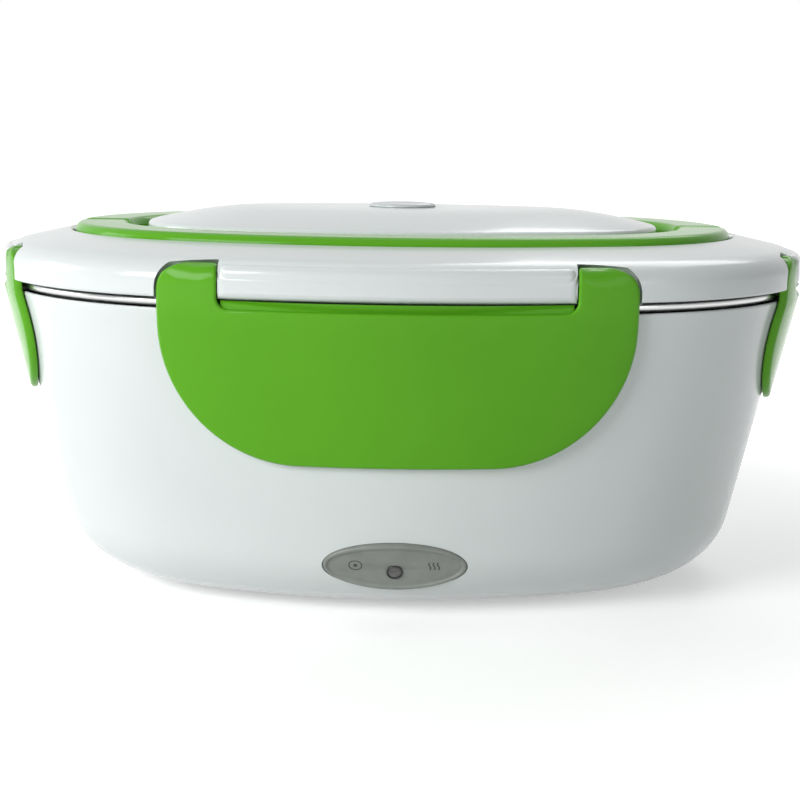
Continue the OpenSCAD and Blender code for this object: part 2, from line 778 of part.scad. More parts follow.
module steel_container() {
    outer = pan_line(flange_z - sheet);
    inner = pan_line(flange_z, sheet);
    a = asin((flange_z - rim_z) / rim_r);
    b = asin((flange_z - sheet - rim_z) / rim_r);
    color("silver") {
        oval_ring() polygon(concat(
            arc(rim_d, rim_z, rim_r, rim_r, a, 360 + b, 14),
            outer,
            [[pan_flat, pan_floor], [pan_flat, pan_floor + sheet]],
            [for (i = [len(inner) - 1 : -1 : 0]) inner[i]]));
        oval_plate(pan_flat - 0.5, pan_floor, pan_floor + sheet);
    }
}

/* ---- lid ---- */

// Upper line of the lid's section, from its lower edge to the middle
function lid_line() = concat(
    [[-lid_over, lid_z]],
    arc(shoulder_w, shoulder_z, shoulder_w + lid_over, shoulder_h, 180, 180 - shoulder_a, 7),
    [[well_in - 0.6, well_edge - 0.1], [well_in, well_edge - 0.5], [well_in, well_z], [island_in, well_z]],
    arc(island_in + island_round, island_z - island_round, island_round, island_round, 180, 100, 4),
    crown_line(0));

// The crowned middle, from the rounded edge to the flat centre
function crown_line(off) = [
    for (i = [0 : 7])
        let (t = i / 7)
        [island_in + 3 + (crown_in - island_in - 3) * t,
            island_z - off + 0.5 + (crown - 0.5) * sin(90 * t)]];

module lid_section() {
    under = crown_line(lid_wall);
    skirt_in = lid_wall + skirt_more - lid_over;
    polygon(concat(
        lid_line(),
        [[crown_in + 1, crown_z], [crown_in + 1, crown_z - lid_wall]],
        [for (i = [7 : -1 : 0]) under[i]],
        [[island_in + lid_wall, island_z - lid_wall - 0.2], [island_in + lid_wall, well_z - lid_wall],
            [post_in + 2, well_z - lid_wall], [post_in + 2, plate_up], [post_in, plate_up],
            [post_in, well_z - lid_wall], [well_in - lid_wall, well_z - lid_wall],
            [well_in - lid_wall, well_edge - lid_wall - 0.5],
            [shoulder_w, shoulder_z + shoulder_h - lid_wall - 0.2],
            [skirt_in + 1.1, shoulder_z + 1.6], [skirt_in, shoulder_z - 0.6], [skirt_in, lid_z]]));
}

module lid_shell() {
    color("white") difference() {
        union() {
            oval_ring() lid_section();
            oval_plate(crown_in + 0.5, crown_z - lid_wall, crown_z);
            at_front() lid_hinge(wide[0], wide[1], wide[2], wide_half);
            at_rear() lid_hinge(wide[0], wide[1], wide[2], wide_half);
            at_left() lid_hinge(narrow[0], narrow[1], narrow[2], narrow_half);
            at_right() lid_hinge(narrow[0], narrow[1], narrow[2], narrow_half);
        }
        at_front() hinge_room(wide[0], wide[1], wide[2], wide_half);
        at_rear() hinge_room(wide[0], wide[1], wide[2], wide_half);
        at_left() hinge_room(narrow[0], narrow[1], narrow[2], narrow_half);
        at_right() hinge_room(narrow[0], narrow[1], narrow[2], narrow_half);
        translate([0, 0, crown_z - 10]) cylinder(r = plug_hole, h = 20);
        handle_rods(bar_pin_r, 0);
    }
}

module lid_hinge(c, r, in, half) {
    lug(c, r, in);
    hinge_blocks(c, r, in, half);
}

module lid_inner_plate() {
    color("white") difference() {
        union() {
            oval_plate(block_in + clear, plate_low, plate_up);
            oval_ring() translate([seal_in - 0.7, plate_low - 1.6]) square([0.6, 1.6 + eps]);
            oval_ring() translate([seal_in + seal_w + 0.1, plate_low - 2]) square([1, 2 + eps]);
            oval_ring() translate([lip_in, seat_z - 5]) square([1.4, plate_low - seat_z + 5 + eps]);
        }
        translate([0, 0, plate_low - 1]) cylinder(r = 4, h = 4);
    }
}

module lid_seal() {
    color("whitesmoke") oval_ring() polygon([
        [seal_in, plate_low], [seal_in, seat_z + 0.6], [seal_in + 0.8, seat_z],
        [seal_in + seal_w - 0.8, seat_z], [seal_in + seal_w, seat_z + 0.6], [seal_in + seal_w, plate_low]]);
}

module vent_plug() {
    color("lightgray") {
        translate([0, 0, crown_z]) cylinder(r1 = plug_r, r2 = plug_r - 0.9, h = 1);
        translate([0, 0, crown_z - lid_wall - 0.8]) cylinder(r = plug_stem, h = lid_wall + 0.8 + eps);
        translate([0, 0, crown_z - lid_wall - 1.6]) cylinder(r1 = plug_stem - 0.7, r2 = plug_stem, h = 0.8 + eps);
    }
}

/* ---- handle ---- */

// The handle's pins, along X, through the bar's eyes into the lid on both sides
module handle_rods(r, extra) {
    x0 = body_l / 2 - island_in - 1.4 - extra;
    x1 = body_l / 2 - well_in + 1.5 + extra;
    for (sx = [-1, 1]) for (sy = [-1, 1])
        x_rod(r, sx > 0 ? x0 : -x1, sx > 0 ? x1 : -x0, sy * pivot_y, pivot_z);
}

// Section of the handle's bar, its upper edges rounded
module bar_section() {
    e = 2.4;
    low = 0.8;
    polygon(concat(
        arc(handle_in + e, handle_top - e, e, e, 180, 90, 5),
        arc(handle_in + bar_w - e, handle_top - e, e, e, 90, 0, 5),
        [[handle_in + bar_w, handle_z + low], [handle_in + bar_w - low, handle_z],
            [handle_in + low, handle_z], [handle_in, handle_z + low]]));
}

// Half of the ring, with an eye at each end; side -1 is the front half
module half_handle(side) {
    color("limegreen") difference() {
        intersection() {
            oval_ring() bar_section();
            union() {
                translate([-body_l, side > 0 ? pivot_y : -pivot_y - body_w, 0]) cube([2 * body_l, body_w, 300]);
                x_rod(eye_r, -body_l, body_l, side * pivot_y, pivot_z);
            }
        }
        handle_rods(bar_pin_r + run, 1);
    }
}

module handle_front() { half_handle(-1); }
module handle_rear() { half_handle(1); }

module handle_pins() {
    color("silver") handle_rods(bar_pin_r, -0.1);
}

/* ---- latches ---- */

module wide_latch() {
    color("limegreen") latch(wide[0], wide[1], wide_half, wide_ear, wide_drop, wide_corner);
}

module narrow_latch() {
    color("limegreen") latch(narrow[0], narrow[1], narrow_half, narrow_ear, narrow_drop, narrow_corner);
}

module latch_front() { at_front() wide_latch(); }
module latch_rear() { at_rear() wide_latch(); }
module latch_left() { at_left() narrow_latch(); }
module latch_right() { at_right() narrow_latch(); }

module wide_pins() { color("silver") hinge_pins(wide[0], wide[1], wide[2]); }
module narrow_pins() { color("silver") hinge_pins(narrow[0], narrow[1], narrow[2]); }

module latch_pins_front() { at_front() wide_pins(); }
module latch_pins_rear() { at_rear() wide_pins(); }
module latch_pins_left() { at_left() narrow_pins(); }
module latch_pins_right() { at_right() narrow_pins(); }

base_shell();
bottom_cover();
cover_screws();
feet();
inner_liner();
heating_plate();
heater_element();
heater_clamp();
clamp_screws();
thermostat();
thermal_fuse();
wiring();
inlet_socket();
inlet_pins();
indicator_panel();
indicator_lens();
light_board();
steel_container();
lid_shell();
lid_inner_plate();
lid_seal();
vent_plug();
latch_front();
latch_rear();
latch_left();
latch_right();
latch_pins_front();
latch_pins_rear();
latch_pins_left();
latch_pins_right();
handle_front();
handle_rear();
handle_pins();
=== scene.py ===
import math

import bmesh
import bpy
from mathutils import Matrix, Vector, geometry


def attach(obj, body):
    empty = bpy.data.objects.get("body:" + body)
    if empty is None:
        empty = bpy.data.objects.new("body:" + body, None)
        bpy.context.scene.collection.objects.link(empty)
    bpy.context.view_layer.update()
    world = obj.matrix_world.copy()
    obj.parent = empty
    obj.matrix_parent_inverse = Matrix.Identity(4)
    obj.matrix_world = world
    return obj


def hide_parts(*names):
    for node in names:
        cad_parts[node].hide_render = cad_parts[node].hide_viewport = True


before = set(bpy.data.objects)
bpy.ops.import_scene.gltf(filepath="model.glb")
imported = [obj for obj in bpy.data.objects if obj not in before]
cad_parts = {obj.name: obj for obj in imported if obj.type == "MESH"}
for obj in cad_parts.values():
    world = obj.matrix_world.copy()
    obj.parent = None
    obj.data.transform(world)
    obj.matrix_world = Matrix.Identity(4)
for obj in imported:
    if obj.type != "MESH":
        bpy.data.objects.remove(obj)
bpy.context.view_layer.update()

MM = 0.001                             # the lunch box is drawn in millimetres, the studio in metres
SHARP = 38                             # degrees between faces that stay a sharp edge

# ---------------------------------------------------------------- sizes, in millimetres
# The oval is four arcs: two end arcs and two side arcs. An inset runs inwards from it.
END_C, END_R = 36.0, 77.0
SIDE_C, SIDE_R = 86.4, 170.6
END_ANG = math.atan2(12, 5)

# Base: heights of its underside and rim, slope and thickness of its wall
BASE_LOW, RIM_Z, RIM_IN, TAPER, BASE_WALL = 1.2, 84.0, 0.1, 19.6, 2.5
# its rounded bottom edge, the step inside its rim, and the ledge round its bottom opening
ROUND_Z, ROUND_W, ROUND_A0 = 19.0, 26.0, math.radians(10)
STEP_Z, STEP_D = 80.8, 1.2
OPEN_IN, LEDGE_IN, LEDGE_Z, LEDGE_TOP = 44.0, 50.0, 3.6, 5.4

# Steel pan: rolled rim, sheet, flange, wall and floor
ROLL_R, ROLL_IN, ROLL_Z, SHEET = 1.3, 2.1, 85.6, 0.8
FLANGE_Z, PAN_TOP_IN, PAN_LOW_IN, PAN_ROUND, PAN_FLOOR = 86.3, 13.8, 18.8, 8.0, 27.6
PAN_FLAT = 72.0

# Lid: lower edge, shoulder, moat for the handle, and the crowned middle
LID_Z, SHOULDER_Z, SHOULDER_W, SHOULDER_H = 87.1, 91.6, 6.4, 5.9
LID_OVER, SKIRT_IN = 2.5, 0.0          # how far it stands out past the rim; its skirt's inner face
WELL_IN, WELL_EDGE, WELL_Z, ISLAND_IN, ISLAND_Z = 17.3, 100.2, 95.2, 38.8, 102.4
CROWN, CROWN_IN, CROWN_Z, LID_FLAT, LID_WALL = 4.4, 70.8, 106.8, 75.0, 2.2
KEEP_IN, KEEP_OUT, KEEP_Z = 27.0, 25.0, 91.1    # rib under the moat that keeps the inner plate
PLUG_HOLE = 7.0

# Handle: its bar, and the pivots at its ends
BAR_IN, BAR_W, BAR_LOW, BAR_TOP = 18.0, 15.4, 95.6, 102.0
BAR_ROUND, BAR_LOW_ROUND = 2.4, 1.0
PIVOT_Y, PIVOT_Z, EYE_R, HALF_BAR = 3.5, 98.8, 3.15, 3.2

# Latches: hinge, panel, ears, their pockets in the lid, the lid's hinge bar, hook and lip
HINGE_Z, BARREL_R, LATCH_GAP, LATCH_T, PANEL_TOP = 92.0, 4.0, 0.4, 2.1, 84.7
EAR_TOP, EAR_ROUND, EAR_BACK, EAR_CORNER, NOTCH_CORNER = 96.0, 2.6, 1.5, 7.0, 3.0
POCKET_BACK, POCKET_SIDE, POCKET_END = 4.88, 0.3, 0.5
LUG_OUT, LUG_LOW, LUG_TOP, LUG_ROUND, BLOCK_IN, BLOCK_OUT = 2.4, 87.2, 95.8, 2.2, 8.4, 1.9
HOOK_Z, HOOK_H, HOOK_IN = 70.6, 2.0, 1.6
LIP_TOP, LIP_T, LIP_GAP = 86.9, 0.5, 0.4

# Indicator panel: size, place and tilt
BADGE_L, BADGE_H, BADGE_Y, BADGE_Z, BADGE_TILT = 38.2, 15.0, 67.7, 15.2, math.radians(26)
BADGE_T, BADGE_STEP, BADGE_GAP = 3.4, 0.5, 0.2
LIGHT_DROP = 1.6                       # the light's middle below the panel's
MARK_TOP = -0.44                       # the printed marks, just above the panel's flat face

# Power inlet: middle, width and height of its mouth, and the play round it
INLET_Z, INLET_W, INLET_H, INLET_GAP = 14.5, 24.0, 12.4, 0.3

# How far the holes for panel and inlet are cut: off the panel's face, and along Y
PANEL_CUT, INLET_CUT = (-8, 8), (48, 78)


class Clip:
    """Place and size of one latch: the arc it follows, its half width, ears, depth and corner."""

    def __init__(self, c, r, half, ear, drop, corner, turn):
        self.c, self.r, self.half, self.ear = c, r, half, ear
        self.inner = half - ear
        self.low = HINGE_Z - drop
        self.corner = corner
        self.turn = Matrix.Rotation(math.radians(turn), 4, "Z")
        self.hinge_y = self.out(self.inner, 0) + LID_OVER - BARREL_R

    def out(self, x, inset):
        """Distance from the middle, at x and an inset along this arc."""
        return -self.c + math.sqrt((self.r - inset) ** 2 - x * x)

    def inset_at(self, x, out):
        """The inset at x and a distance from the middle."""
        return self.r - math.hypot(x, out + self.c)


WIDE = dict(c=SIDE_C, r=SIDE_R, half=61.2, ear=15.9, drop=48.3, corner=36.0)
NARROW = dict(c=-END_C, r=END_R, half=38.0, ear=10.7, drop=38.0, corner=25.0)
CLIPS = {
    "front": Clip(**WIDE, turn=0), "rear": Clip(**WIDE, turn=180),
    "left": Clip(**NARROW, turn=-90), "right": Clip(**NARROW, turn=90),
}


def wall_in(z):
    """Inset of the base's outer wall at height z."""
    return RIM_IN + TAPER * (1 - z / RIM_Z)


# ---------------------------------------------------------------- camera
cam_data = bpy.data.cameras.new("camera")
SENSOR, IMAGE, FOCAL = 36.0, 800, 1749.2        # mm, pixels, pixels
EYE = (-0.03, -515.24, 133.61)
cam_data.sensor_width = SENSOR
cam_data.lens = FOCAL / IMAGE * SENSOR
cam_data.clip_start, cam_data.clip_end = 0.05, 50
camera = bpy.data.objects.new("camera", cam_data)
bpy.context.scene.collection.objects.link(camera)
YAW, PITCH, ROLL = -0.0133, 0.1624, 0.0124
look = Matrix.Rotation(-YAW, 4, "Z")
camera.matrix_world = (
    look @ Matrix.Translation(Vector(EYE) * MM)
    @ Matrix.Rotation(math.pi / 2 - PITCH, 4, "X") @ Matrix.Rotation(ROLL, 4, "Z"))
bpy.context.scene.camera = camera


# ---------------------------------------------------------------- outlines and meshes
def arc(cx, cy, r, a, b, n):
    """Points on an arc, angles in degrees."""
    angles = [math.radians(a + (b - a) * i / n) for i in range(n + 1)]
    return [(cx + r * math.cos(t), cy + r * math.sin(t)) for t in angles]


def soften(corners, closed=True, n=5):
    """Rounds the corners of a line: each corner is (x, y, radius)."""
    line = []
    count = len(corners)
    for i, (x, y, r) in enumerate(corners):
        p = Vector((x, y))
        if r <= 0 or (not closed and i in (0, count - 1)):
            line.append((x, y))
            continue
        a = Vector(corners[i - 1][:2]) - p
        b = Vector(corners[(i + 1) % count][:2]) - p
        la, lb = a.length, b.length
        a.normalize()
        b.normalize()
        turn = a.angle(b)
        if turn > math.radians(176):
            line.append((x, y))
            continue
        d = min(r / math.tan(turn / 2), la * 0.48, lb * 0.48)
        rr = d * math.tan(turn / 2)
        start, end = p + a * d, p + b * d
        mid = p + (a + b).normalized() * (rr / math.sin(turn / 2))
        v0, v1 = start - mid, end - mid
        sweep = v0.angle(v1)
        side = 1 if v0.x * v1.y - v0.y * v1.x > 0 else -1
        for k in range(n + 1):
            t = side * sweep * k / n
            c, s = math.cos(t), math.sin(t)
            line.append((mid.x + v0.x * c - v0.y * s, mid.y + v0.x * s + v0.y * c))
    return line


def oval_stations(n_end=44, n_side=34):
    """Stations round the oval: centre, radius and direction of each."""
    spans = [((END_C, 0), END_R, -END_ANG, END_ANG, n_end),
             ((0, -SIDE_C), SIDE_R, END_ANG, math.pi - END_ANG, n_side),
             ((-END_C, 0), END_R, math.pi - END_ANG, math.pi + END_ANG, n_end),
             ((0, SIDE_C), SIDE_R, math.pi + END_ANG, 2 * math.pi - END_ANG, n_side)]
    return [(c, r, a + (b - a) * i / n) for c, r, a, b, n in spans for i in range(n)]


def at_station(station, inset, z):
    """The point at a station of the oval, an inset and a height."""
    (cx, cy), r, a = station
    return Vector((cx + (r - inset) * math.cos(a), cy + (r - inset) * math.sin(a), z))


def new_piece(name, bm, body, finish, sharp=SHARP):
    """Makes an object of a mesh in millimetres, shades it and lets it ride on a body."""
    bmesh.ops.remove_doubles(bm, verts=bm.verts, dist=0.002)
    bmesh.ops.recalc_face_normals(bm, faces=bm.faces)
    bm.transform(Matrix.Scale(MM, 4))
    mesh = bpy.data.meshes.new(name)
    bm.to_mesh(mesh)
    bm.free()
    mesh.polygons.foreach_set("use_smooth", [True] * len(mesh.polygons))
    mesh.set_sharp_from_angle(angle=math.radians(sharp))
    piece = bpy.data.objects.new(name, mesh)
    bpy.context.scene.collection.objects.link(piece)
    piece.data.materials.append(finish)
    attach(piece, body)
    return piece


def rings_to_mesh(bm, rings, close_path=True, close_section=True, cap=False):
    """Joins rings of points with faces; cap closes the two end rings, or both section ends."""
    verts = [[bm.verts.new(p) for p in ring] for ring in rings]
    m, n = len(verts), len(verts[0])
    for i in range(m if close_path else m - 1):
        for j in range(n if close_section else n - 1):
            a, b = verts[i], verts[(i + 1) % m]
            quad = (a[j], a[(j + 1) % n], b[(j + 1) % n], b[j])
            bm.faces.new(quad)
    if cap and close_path:
        bm.faces.new([v[0] for v in verts])
        bm.faces.new([v[-1] for v in verts])
    elif cap:
        bm.faces.new(verts[0])
        bm.faces.new(verts[-1])
    return verts


def oval_sweep(section, closed=True, cap=False):
    """Takes a section of (inset, height) round the whole oval."""
    bm = bmesh.new()
    rings_to_mesh(bm, [[at_station(s, i, z) for i, z in section] for s in oval_stations()],
                  close_section=closed, cap=cap)
    return bm


def turned(profile, n=64):
    """A piece turned round Z: profile is a line of (radius, z) that starts and ends on the axis."""
    bm = bmesh.new()
    rings = [[Vector((r * math.cos(2 * math.pi * k / n), r * math.sin(2 * math.pi * k / n), z))
              for r, z in profile] for k in range(n)]
    rings_to_mesh(bm, rings, close_section=False)
    return bm


def inset_outline(outline, d):
    """Moves a closed anticlockwise outline inwards by d along its normals."""
    n = len(outline)
    moved = []
    for i, (x, y) in enumerate(outline):
        ax, ay = outline[i - 1]
        bx, by = outline[(i + 1) % n]
        t0 = Vector((x - ax, y - ay)).normalized()
        t1 = Vector((bx - x, by - y)).normalized()
        t = (t0 + t1).normalized()
        k = max(0.5, t.dot(t1))
        moved.append((x - t.y * d / k, y + t.x * d / k))
    return moved


def resample(outline, step):
    """Splits the long sides of a closed outline."""
    out = []
    n = len(outline)
    for i in range(n):
        a, b = Vector(outline[i]), Vector(outline[(i + 1) % n])
        k = max(1, math.ceil((b - a).length / step))
        out += [tuple(a.lerp(b, j / k)) for j in range(k)]
    return out


def lies_inside(x, y, outline):
    """Whether a point lies within a closed outline."""
    hit = False
    n = len(outline)
    for i in range(n):
        ax, ay = outline[i - 1]
        bx, by = outline[i]
        if (ay > y) != (by > y) and x < (bx - ax) * (y - ay) / (by - ay) + ax:
            hit = not hit
    return hit


def filled(outline, step):
    """Triangles that fill an outline, with points inside it on a grid."""
    xs, ys = [p[0] for p in outline], [p[1] for p in outline]
    keep = inset_outline(outline, step * 0.55)
    pts = [Vector(p) for p in outline]
    y = min(ys) + step
    row = 0
    while y < max(ys):
        x = min(xs) + step * (0.5 if row % 2 else 1)
        while x < max(xs):
            if lies_inside(x, y, keep):
                pts.append(Vector((x, y)))
            x += step
        y += step * 0.9
        row += 1
    n = len(outline)
    ring = [(i, (i + 1) % n) for i in range(n)]
    verts, _, faces, _, _, _ = geometry.delaunay_2d_cdt(pts, ring, [], 1, 1e-5)
    return [tuple(v) for v in verts], [f for f in faces]


def moulded_plate(bm, outline, thick, edge, place, step=3.0, n=5):
    """A plate with rounded edges. place(x, y, depth) gives the point in space."""
    rounds = []
    for k in range(n + 1):
        t = math.pi / 2 * k / n
        rounds.append((edge * (1 - math.cos(t)), edge * (1 - math.sin(t))))
    levels = [(i, d) for i, d in reversed(rounds)] + [(i, thick - d) for i, d in rounds]
    rings = [[place(x, y, d) for x, y in inset_outline(outline, i)] for i, d in levels]
    verts = rings_to_mesh(bm, rings, close_path=False)
    for level, ring in ((levels[0], verts[0]), (levels[-1], verts[-1])):
        flat = inset_outline(outline, level[0])
        pts, faces = filled(flat, step)
        known = {}
        for k, (x, y) in enumerate(flat):
            known[(round(x, 3), round(y, 3))] = ring[k]
        made = []
        for x, y in pts:
            v = known.get((round(x, 3), round(y, 3)))
            made.append(v or bm.verts.new(place(x, y, level[1])))
        for f in faces:
            if len({made[i] for i in f}) == len(f):
                try:
                    bm.faces.new([made[i] for i in f])
                except ValueError:
                    pass


def cut(piece, *cutters):
    """Takes the cutters' meshes, in millimetres, out of a piece."""
    for bm in cutters:
        bmesh.ops.recalc_face_normals(bm, faces=bm.faces)
        bm.transform(Matrix.Scale(MM, 4))
        cutter_mesh = bpy.data.meshes.new("cutter")
        bm.to_mesh(cutter_mesh)
        bm.free()
        cutter = bpy.data.objects.new("cutter", cutter_mesh)
        bpy.context.scene.collection.objects.link(cutter)
        mod = piece.modifiers.new("cut", "BOOLEAN")
        mod.operation = "DIFFERENCE"
        mod.solver = "EXACT"
        mod.object = cutter
        ready = piece.evaluated_get(bpy.context.evaluated_depsgraph_get())
        result = bpy.data.meshes.new_from_object(ready)
        piece.modifiers.clear()
        result.name = piece.data.name + "_cut"
        piece.data = result
        bpy.data.objects.remove(cutter)
        bpy.data.meshes.remove(cutter_mesh)
    piece.data.polygons.foreach_set("use_smooth", [True] * len(piece.data.polygons))
    piece.data.set_sharp_from_angle(angle=math.radians(SHARP))


# ---------------------------------------------------------------- material building
def group_with(name, inputs, outputs):
    """Starts a shader node group with named sockets."""
    tree = bpy.data.node_groups.new(name, "ShaderNodeTree")
    for label, kind, value in inputs:
        socket = tree.interface.new_socket(label, in_out="INPUT", socket_type=kind)
        socket.default_value = value
    for label, kind in outputs:
        tree.interface.new_socket(label, in_out="OUTPUT", socket_type=kind)
    return tree, tree.nodes.new("NodeGroupInput"), tree.nodes.new("NodeGroupOutput")


def node(tree, kind, inputs=None, **settings):
    made = tree.nodes.new("ShaderNode" + kind)
    for key, value in settings.items():
        setattr(made, key, value)
    for key, value in (inputs or {}).items():
        socket = made.inputs[key]
        if isinstance(value, bpy.types.NodeSocket):
            tree.links.new(value, socket)
        else:
            socket.default_value = value
    return made


# What a surface group puts out
SURFACE = [("Colour", "NodeSocketColor"), ("Roughness", "NodeSocketFloat"), ("Height", "NodeSocketFloat")]


def build_moulded_skin():
    """Moulded plastic: faint cloudiness of the colour, uneven gloss and very fine texture."""
    tree, ins, outs = group_with(
        "moulded_skin",
        [("Colour", "NodeSocketColor", (0.8, 0.8, 0.8, 1)), ("Shade", "NodeSocketColor", (0.7, 0.7, 0.7, 1)),
         ("Gloss", "NodeSocketFloat", 0.25), ("Gloss spread", "NodeSocketFloat", 0.08),
         ("Cloud size", "NodeSocketFloat", 18.0), ("Grain size", "NodeSocketFloat", 900.0)],
        SURFACE)
    place = node(tree, "TexCoord").outputs["Object"]
    cloud = node(tree, "TexNoise", {"Vector": place, "Scale": ins.outputs["Cloud size"], "Detail": 3.0})
    soft = node(tree, "MapRange", {"Value": cloud.outputs["Fac"], "From Min": 0.35, "From Max": 0.7})
    mix = node(tree, "Mix", {"Factor": soft.outputs["Result"]}, data_type="RGBA")
    tree.links.new(ins.outputs["Colour"], mix.inputs[6])
    tree.links.new(ins.outputs["Shade"], mix.inputs[7])
    wide = node(tree, "TexNoise", {"Vector": place, "Scale": 42.0, "Detail": 4.0})
    rough = node(tree, "Math", {0: wide.outputs["Fac"], 1: ins.outputs["Gloss spread"],
                                2: ins.outputs["Gloss"]}, operation="MULTIPLY_ADD")
    grain = node(tree, "TexNoise", {"Vector": place, "Scale": ins.outputs["Grain size"], "Detail": 2.0})
    tree.links.new(mix.outputs[2], outs.inputs["Colour"])
    tree.links.new(rough.outputs[0], outs.inputs["Roughness"])
    tree.links.new(grain.outputs["Fac"], outs.inputs["Height"])
    return tree


def build_drawn_metal():
    """Drawn and polished metal: fine lines along one direction and a few smudges."""
    tree, ins, outs = group_with(
        "drawn_metal",
        [("Colour", "NodeSocketColor", (0.6, 0.6, 0.6, 1)), ("Shade", "NodeSocketColor", (0.5, 0.5, 0.5, 1)),
         ("Gloss", "NodeSocketFloat", 0.2), ("Line", "NodeSocketVector", (60.0, 60.0, 2600.0))],
        SURFACE)
    place = node(tree, "TexCoord").outputs["Object"]
    drawn = node(tree, "VectorMath", {0: place, 1: ins.outputs["Line"]}, operation="MULTIPLY")
    lines = node(tree, "TexNoise", {"Vector": drawn.outputs[0], "Scale": 1.0, "Detail": 4.0})
    smudge = node(tree, "TexNoise", {"Vector": place, "Scale": 30.0, "Detail": 3.0})
    mix = node(tree, "Mix", {"Factor": lines.outputs["Fac"]}, data_type="RGBA")
    tree.links.new(ins.outputs["Colour"], mix.inputs[6])
    tree.links.new(ins.outputs["Shade"], mix.inputs[7])
    both = node(tree, "Math", {0: lines.outputs["Fac"], 1: smudge.outputs["Fac"]}, operation="ADD")
    rough = node(tree, "Math", {0: both.outputs[0], 1: 0.12, 2: ins.outputs["Gloss"]},
                 operation="MULTIPLY_ADD")
    tree.links.new(mix.outputs[2], outs.inputs["Colour"])
    tree.links.new(rough.outputs[0], outs.inputs["Roughness"])
    tree.links.new(lines.outputs["Fac"], outs.inputs["Height"])
    return tree


SKIN = build_moulded_skin()
METAL = build_drawn_metal()


def finish(name, surface, values, bump, **shader):
    """A material: a surface group feeds a Principled shader, whose plain values are set on it."""
    mat = bpy.data.materials.new(name)
    mat.use_nodes = True
    tree = mat.node_tree
    tree.nodes.clear()
    out = tree.nodes.new("ShaderNodeOutputMaterial")
    bsdf = tree.nodes.new("ShaderNodeBsdfPrincipled")
    skin = tree.nodes.new("ShaderNodeGroup")
    skin.node_tree = surface
    for key, value in values.items():
        skin.inputs[key].default_value = value
    strength, depth = bump
    relief = node(tree, "Bump", {"Strength": strength, "Distance": depth, "Height": skin.outputs["Height"]})
    for key, value in shader.items():
        bsdf.inputs[key.replace("_", " ")].default_value = value
    tree.links.new(skin.outputs["Colour"], bsdf.inputs["Base Color"])
    tree.links.new(skin.outputs["Roughness"], bsdf.inputs["Roughness"])
    tree.links.new(relief.outputs["Normal"], bsdf.inputs["Normal"])
    tree.links.new(bsdf.outputs["BSDF"], out.inputs["Surface"])
    return mat


def plastic(name, colour, shade, gloss, spread, cloud=18.0, grain=900.0, bump=(0.04, 0.00002), **shader):
    """Moulded plastic, rubber or resin: its colour, a second shade that clouds it, and its gloss."""
    values = {"Colour": (*colour, 1), "Shade": (*shade, 1), "Gloss": gloss, "Gloss spread": spread,
              "Cloud size": cloud, "Grain size": grain}
    return finish(name, SKIN, values, bump, **shader)


def metal(name, colour, shade, gloss, line=(60.0, 60.0, 2600.0), bump=(0.05, 0.00002)):
    """Bare metal with fine lines; line is how often they come along X, Y and Z."""
    values = {"Colour": (*colour, 1), "Shade": (*shade, 1), "Gloss": gloss, "Line": line}
    return finish(name, METAL, values, bump, Metallic=1.0)


white_gloss = plastic("white_gloss_plastic", (0.73, 0.775, 0.77), (0.70, 0.745, 0.74), 0.16, 0.06,
                      Specular_IOR_Level=0.4, Coat_Weight=0.1, Coat_Roughness=0.06)
white_satin = plastic("white_satin_plastic", (0.70, 0.71, 0.70), (0.64, 0.65, 0.64), 0.38, 0.1,
                      bump=(0.15, 0.00004))
leaf_green = plastic("leaf_green_plastic", (0.118, 0.420, 0.018), (0.109, 0.390, 0.016), 0.14, 0.06,
                     Specular_IOR_Level=0.12)
plug_white = plastic("plug_white_plastic", (0.58, 0.62, 0.62), (0.53, 0.57, 0.57), 0.22, 0.08,
                     Coat_Weight=0.2, Coat_Roughness=0.1)
panel_grey = plastic("panel_grey_plastic", (0.27, 0.285, 0.265), (0.215, 0.23, 0.21), 0.4, 0.15,
                     160.0, 1400.0, bump=(0.3, 0.00005))
mark_dark = plastic("mark_dark_print", (0.055, 0.055, 0.055), (0.04, 0.04, 0.04), 0.5, 0.1)
lens_ring = plastic("lens_ring_dark", (0.03, 0.03, 0.03), (0.02, 0.02, 0.02), 0.3, 0.1)
lens_grey = plastic("lens_grey_clear", (0.13, 0.13, 0.125), (0.06, 0.06, 0.058), 0.15, 0.1, 420.0, 700.0,
                    bump=(0.6, 0.0002), Coat_Weight=0.6, Coat_Roughness=0.05)
silicone = plastic("silicone_milky", (0.66, 0.66, 0.63), (0.60, 0.60, 0.57), 0.5, 0.15, 30.0, 1300.0,
                   bump=(0.2, 0.00004), Subsurface_Weight=0.15)
foot_rubber = plastic("foot_rubber", (0.035, 0.035, 0.036), (0.025, 0.025, 0.026), 0.7, 0.15, 60.0, 1800.0,
                      bump=(0.5, 0.00006))
black_satin = plastic("black_satin_plastic", (0.022, 0.022, 0.023), (0.015, 0.015, 0.016), 0.35, 0.15,
                      bump=(0.25, 0.00005))
ceramic_buff = plastic("heater_buff", (0.42, 0.34, 0.22), (0.34, 0.27, 0.17), 0.65, 0.2, 90.0, 1500.0,
                       bump=(0.4, 0.00008))
wire_blue = plastic("wire_blue_cover", (0.02, 0.06, 0.32), (0.015, 0.045, 0.26), 0.35, 0.1)
board_green = plastic("board_green_resin", (0.015, 0.12, 0.035), (0.01, 0.09, 0.026), 0.3, 0.2, 140.0)
steel = metal("container_steel", (0.62, 0.62, 0.61), (0.50, 0.50, 0.50), 0.10)
screw_steel = metal("screw_steel", (0.55, 0.55, 0.55), (0.42, 0.42, 0.42), 0.22, (400.0, 400.0, 1500.0))
alloy = metal("plate_alloy", (0.68, 0.69, 0.70), (0.56, 0.57, 0.58), 0.30, (700.0, 700.0, 700.0))

